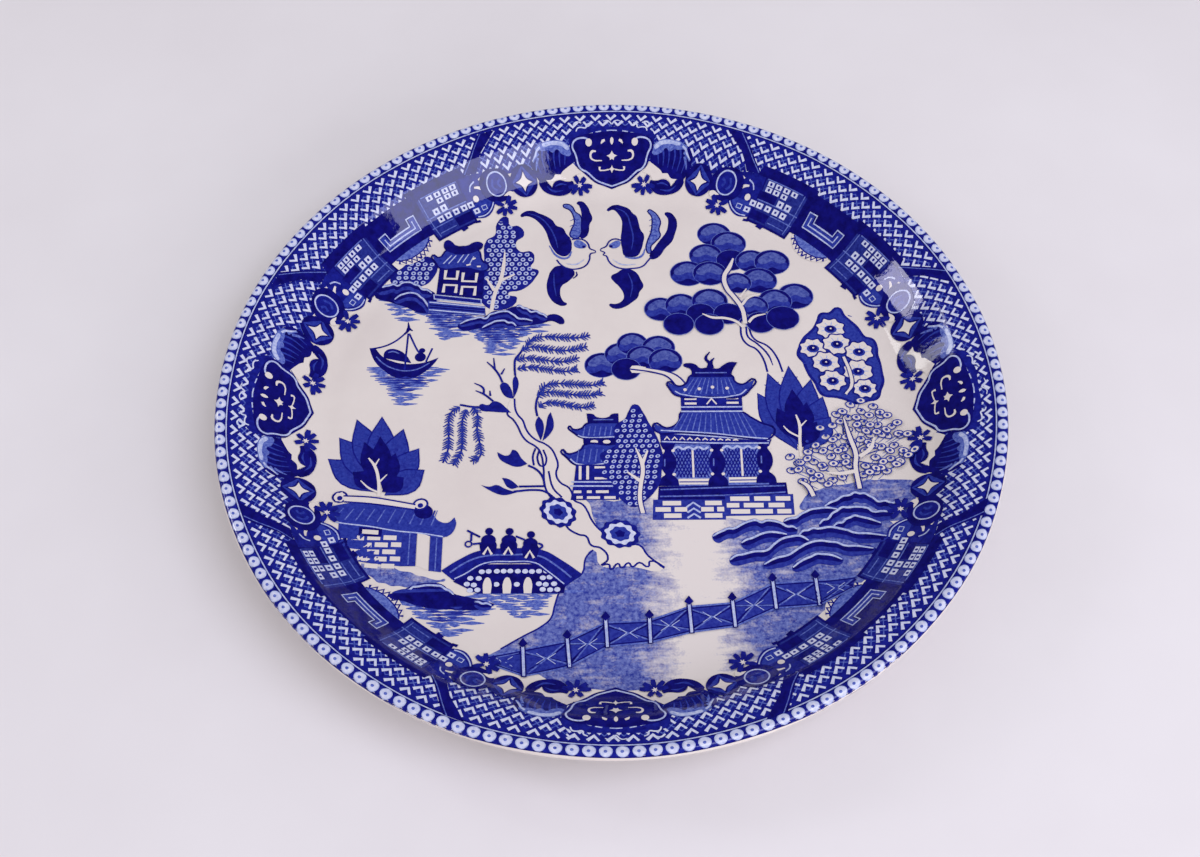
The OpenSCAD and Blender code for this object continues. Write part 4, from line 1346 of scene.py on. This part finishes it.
fill(deep, [[(-8, 0.4, 0), (-6, 0.1), (-5, -0.9), (-1.5, -0.9), (-0.5, 0.1), (1.5, 0.4, 0), (1.6, -3.2, 0),
             (-7.6, -3.2, 0)]])
pen(wash, 0.4, [[(-6, -1.9), (0, -1.9)]])
centre("pagoda", 0.05)

net_crown([(6.5, 3.7), (4.5, 1), (3.5, -1.5), (1, -3.5), (0, -6), (0.5, -11), (-1.5, -12.5), (-4, -14.5),
           (-2.5, -19), (-4.5, -21), (-1, -23.5), (0, -26), (3, -31), (6, -32.5), (9.5, -30), (12, -27),
           (13.5, -24), (14, -20), (14.5, -16), (14, -12), (12, -6), (10.5, -3), (9, 0.5)], 2.1, 0.78, 0.75)
pen(line_blue, 1.8, [[(8.3, -34.5), (7.5, -30), (7.8, -25), (8.5, -20), (8.2, -17), (6.5, -12, 0.3)]])
pen(china, 1.15, [[(8.3, -34.5), (7.5, -30), (7.8, -25), (8.5, -20), (8.2, -17), (6.5, -12, 0.3)],
                  [(7.6, -23.5), (4, -20.5, 0.4)],
                  [(8.4, -17.5), (10, -13, 0.4)]])
centre("net_tree", 0.1)

fill(deep, [[(13, -25.5, 0), (33, -24.8, 0), (50, -24.3, 0), (50.3, -28.8, 0), (32, -30, 0),
             (12.6, -30.3, 0)]])
pen(wash, 0.45, [[(13.5, -26.6), (33, -25.9), (49.5, -25.4)], [(13.3, -28.9), (33, -28.6), (49.6, -27.6)]],
    smooth=False)
fill(shade, [[(11.3, -30, 0), (32, -30, 0), (32, -28.6, 0), (51.7, -28.3, 0), (51.7, -35.3, 0),
              (32, -35.6, 0), (32, -36.8, 0), (11, -36.8, 0)]])
bricks = []
for y, runs in ((-31.2, ((14, 19.3), (26.2, 31))),
                (-33.3, ((11.9, 16.3), (17.4, 21), (25, 28.6), (29.6, 31.6))),
                (-35.4, ((14.3, 19.3), (26, 31))), (-29.8, ((33.5, 39), (40.4, 45), (46.6, 50.8))),
                (-32, ((32.4, 36), (37.3, 43), (44.4, 49))),
                (-34.1, ((33.5, 39), (40.6, 45.5), (46.8, 50.8)))):
    bricks += [[(a, y + 0.75), (b, y + 0.75), (b, y - 0.75), (a, y - 0.75)] for a, b in runs]
fill(china, bricks, smooth=False)
pen(faint, 0.6, [[(20.8, -32.6), (22.8, -31), (24.8, -32.6)], [(21, -34.4), (22.9, -33), (24.8, -34.4)],
                 [(21, -36.2), (22.9, -34.8), (24.8, -36.2)]],
    smooth=False)
fill(wash, [[(15.5, -10, 0), (45, -10, 0), (45, -25, 0), (15.5, -25.5, 0)]])
net = []
for i in range(12):
    for a, b in ((17.5, 28.5), (32, 42.8)):
        x = a + (b - a) * i / 11
        net.append([(x - 2.2, -22.4), (x + 2.2, -12.4)])
        net.append([(x + 2.2, -22.4), (x - 2.2, -12.4)])
pen(line_blue, 0.42, net, smooth=False, steps=1)
pen(faint, 0.7, [[(17.5, -12.6), (19, -11.8), (20.5, -12.6), (22, -11.8), (23.5, -12.6), (25, -11.8),
                  (26.5, -12.6), (28, -11.8)],
                 [(32, -12.4), (33.5, -11.6), (35, -12.4), (36.5, -11.6), (38, -12.4), (39.5, -11.6),
                  (41, -12.4), (42.5, -11.6)]])
pen(china, 0.6, [[(23.2, -13), (23.2, -22.5)], [(37.5, -12.6), (37.5, -22)]])
fill(china, [[(18.8, -22.9, 0), (27.8, -22.9, 0), (27.8, -24.9, 0), (18.8, -24.9, 0)],
             [(33.4, -22.5, 0), (42, -22.4, 0), (42, -24.2, 0), (33.4, -24.3, 0)]])
pen(middle, 0.4, [[(19, -24), (27.6, -24)], [(33.6, -23.5), (41.8, -23.4)]])
for x, lift in ((16, 0), (30.3, 0.1), (44.3, 0.9)):
    fill(deep, [[(x - 2.4, -10.2 + lift, 0), (x + 2.4, -10.2 + lift, 0), (x + 1.4, -12.6 + lift),
                 (x + 0.9, -13.3 + lift, 0), (x + 2.1, -15.6 + lift), (x + 2.1, -19 + lift),
                 (x + 0.9, -21.4 + lift, 0), (x + 2.6, -23.2 + lift), (x + 3, -25.4 + lift, 0),
                 (x - 3, -25.4 + lift, 0), (x - 2.6, -23.2 + lift), (x - 0.9, -21.4 + lift, 0),
                 (x - 2.1, -19 + lift), (x - 2.1, -15.6 + lift), (x - 0.9, -13.3 + lift, 0),
                 (x - 1.4, -12.6 + lift)]])
    dots(china, [(x - 1.5, -13.1 + lift), (x + 1.5, -13.1 + lift), (x - 1.6, -21.4 + lift),
                 (x + 1.6, -21.4 + lift)], 0.5)
    pen(wash, 0.4, [[(x - 1, -16 + lift), (x - 1.1, -18.6 + lift)]])
fill(line_blue, [[(13.6, -5.8, 0), (30, -7.2), (46.3, -9.2, 0), (46, -10.8, 0), (30, -11), (14, -10.6, 0)]])
pen(faint, 0.45, [[(13.9, -6.6), (30, -8.2), (46, -9.7)], [(14.2, -9.9), (30, -10.5), (45.8, -10.6)]])
pen(china, 0.55, [[(15 + 2.25 * i, -9.3 - 0.03 * i, 0.6), (15.8 + 2.25 * i, -8.2 - 0.12 * i),
                   (16.6 + 2.25 * i, -9.3 - 0.03 * i, 0.6)]
                  for i in range(10)], smooth=False)
roof([(20.3, 0.6), (19.5, -2.6), (17.5, -4.6), (15.5, -5), (12.2, -3.4, 0), (12.6, -6.2), (20, -6.8),
      (30, -7.6), (40, -9), (45, -9.6), (47.8, -5.6, 0), (44, -3.4), (41, -1.3), (38.5, 0.6), (30, 1)],
     [[(17.5 + 1.9 * i, -6.3 - 0.17 * i), (21 + 1.35 * i, 0.2, 0.5)] for i in range(14)],
     [(14, -5.9), (20, -6.3), (30, -7.1), (40, -8.5), (45.6, -9)])
fill(line_blue, [[(20.3, 6.8, 0), (38.7, 6.8, 0), (38.7, 0.8, 0), (20.3, 0.8, 0)]])
pen(china, 0.75, [[(21.4, 5.5), (25, 5.5)], [(21.4, 3.8), (25, 3.8)], [(34, 5.7), (37.6, 5.7)],
                  [(34, 4), (37.6, 4)],
                  [(28, 3.5, 0.6), (29.5, 5.6), (31, 3.5, 0.6)]], smooth=False)
pen(faint, 0.5, [[(20.3, 2.5), (38.7, 2.5)], [(20.3, 0.9), (38.7, 0.9)]], smooth=False)
roof([(23.6, 14.2), (22, 11.2), (19.8, 10.2), (16.6, 11.8, 0), (17.3, 8.9), (19, 6.8), (29, 6.3),
      (38.8, 6.4), (41.2, 8.8), (42.9, 12.7, 0), (39.2, 10.8), (37, 11.7), (36, 14.2), (30, 14.8)],
     [[(21 + 1.75 * i, 7.3), (24.6 + 1.15 * i, 13.2, 0.5)] for i in range(10)],
     [(18.6, 8.4), (20.6, 7.2), (38, 7), (40.2, 8.9)])
dots(china, [(21.7, 8.9), (26, 9.2), (30, 9.8), (34.4, 9.4)], 0.55)
fill(deep, [[(21.4, 18.2), (23, 18.9), (25.3, 18.3), (26.5, 17), (29, 17.3), (32, 16.8), (33.5, 18),
             (35.5, 19.2), (38, 19.1, 0), (36.2, 15.6), (36, 13.6, 0), (23.7, 13.6, 0), (23.7, 16.4)]])
pen(wash, 0.4, [[(25, 15.2), (34.6, 15.2)]])
pen(deep, 1.0, [[(29.7, 23.2, 0.3), (28.4, 20.6), (29.4, 18.8), (29, 17)],
                [(31, 20.8, 0.3), (30, 19.4), (30.3, 17)]])
centre("temple", 0.05)

# Wave rocks -----------------------------------------------------------------------------------
# Heaped rocks on the right bank, drawn like breaking waves.

rock_ridges([
    [(60.5, -32.5), (64, -30.5), (68, -28.8), (71, -28.3), (73.5, -29), (76, -31), (80, -31.8),
     (83, -32.3)],
    [(48.5, -37.5), (52, -36.3), (55, -34.3), (58, -33.3), (64, -33.5)],
    [(58.5, -38.5), (61, -36.8), (64, -34), (67, -33), (72, -33), (74, -34.3), (80.5, -35.5)],
    [(62.5, -39.2), (65, -38), (67.5, -36.3), (70, -36), (76, -38.3)],
    [(28, -42.3), (31, -40.5), (34, -39.8), (39, -37.3), (42, -37.8), (45, -37.3), (49.5, -39.3),
     (52, -40)],
    [(36, -44.5), (39, -43), (44.5, -41), (49, -41.8)],
    [(52.5, -42), (55, -40.5), (58, -40), (65, -40.2), (68, -41.3), (77, -43)],
    [(32.5, -50), (36, -48.3), (43, -47), (47.5, -43.3), (52.5, -42.3), (55, -43.8)],
    [(42, -51.5), (49, -48.5), (55, -44.7), (61, -44.3), (65, -45.5), (73, -46.8)],
    [(50, -52.5), (55.5, -49), (58.5, -48.3), (64, -50)]], 0.65, 3.3)
centre("wave_rocks", 0.08, cut=True)

# Fence ----------------------------------------------------------------------------------------
# A fence of eight bays across the foot of the scene, with crossed panels and pointed posts.

posts = [((-36, -80), (-35.5, -81.6)), ((-25, -77.5), (-24.4, -86)), ((-13, -75), (-12.2, -82.7)),
         ((-2.5, -69.5), (-2, -76.8)), ((9.5, -69), (9.7, -75.6)), ((20.5, -64.8), (21, -72.6)),
         ((32.5, -63.7), (33, -70.9)), ((44, -57.7), (44.5, -65.4)), ((56, -56.8), (56.5, -64.6)),
         ((67, -56), (66, -60))]
for (top, foot_point), (next_top, next_foot) in zip(posts, posts[1:]):
    (ax, ay), (bx, by), (cx, cy), (dx, dy) = top, next_top, next_foot, foot_point
    fill(shade, [[(ax, ay, 0), (bx, by, 0), (cx, cy, 0), (dx, dy, 0)]])
    pen(deep, 0.7, [[(ax, ay - 1), (cx, cy + 1)], [(bx, by - 1), (dx, dy + 1)]], smooth=False, steps=1)
    mid_x, mid_y = (ax + bx + cx + dx) / 4, (ay + by + cy + dy) / 4
    pen(wash, 0.4, [[(ax + 0.8, ay - 0.9), (cx - 0.8, cy + 0.9)],
                    [(bx - 0.8, by - 0.9), (dx + 0.8, dy + 0.9)]], smooth=False, steps=1)
    pen(faint, 0.35, [[(mid_x - 2.6, mid_y + 1.6, 0.5), (mid_x - 0.4, mid_y),
                       (mid_x - 2.6, mid_y - 1.6, 0.5)],
                      [(mid_x + 2.6, mid_y + 1.6, 0.5), (mid_x + 0.4, mid_y),
                       (mid_x + 2.6, mid_y - 1.6, 0.5)]], smooth=False, steps=1)
    pen(wash, 0.5, [[(ax, ay), (bx, by)], [(dx, dy), (cx, cy)]], smooth=False, steps=1)
    pen(deep, 0.35, [[(ax, ay - 0.55), (bx, by - 0.55)], [(dx, dy + 0.5), (cx, cy + 0.5)]], smooth=False,
        steps=1)
for (ax, ay), (bx, by) in posts[1:-1]:
    pen(deep, 1.5, [[(ax, ay + 0.8), (bx, by - 0.5)]], smooth=False, steps=1)
    pen(faint, 0.75, [[(ax, ay + 0.8), (bx, by - 0.2)]], smooth=False, steps=1)
    fill(deep, [[(ax - 1.3, ay + 1.6, 0), (ax, ay + 3.4, 0), (ax + 1.3, ay + 1.6, 0), (ax, ay + 0.4, 0)]])
centre("fence", 0.14, cut=True)
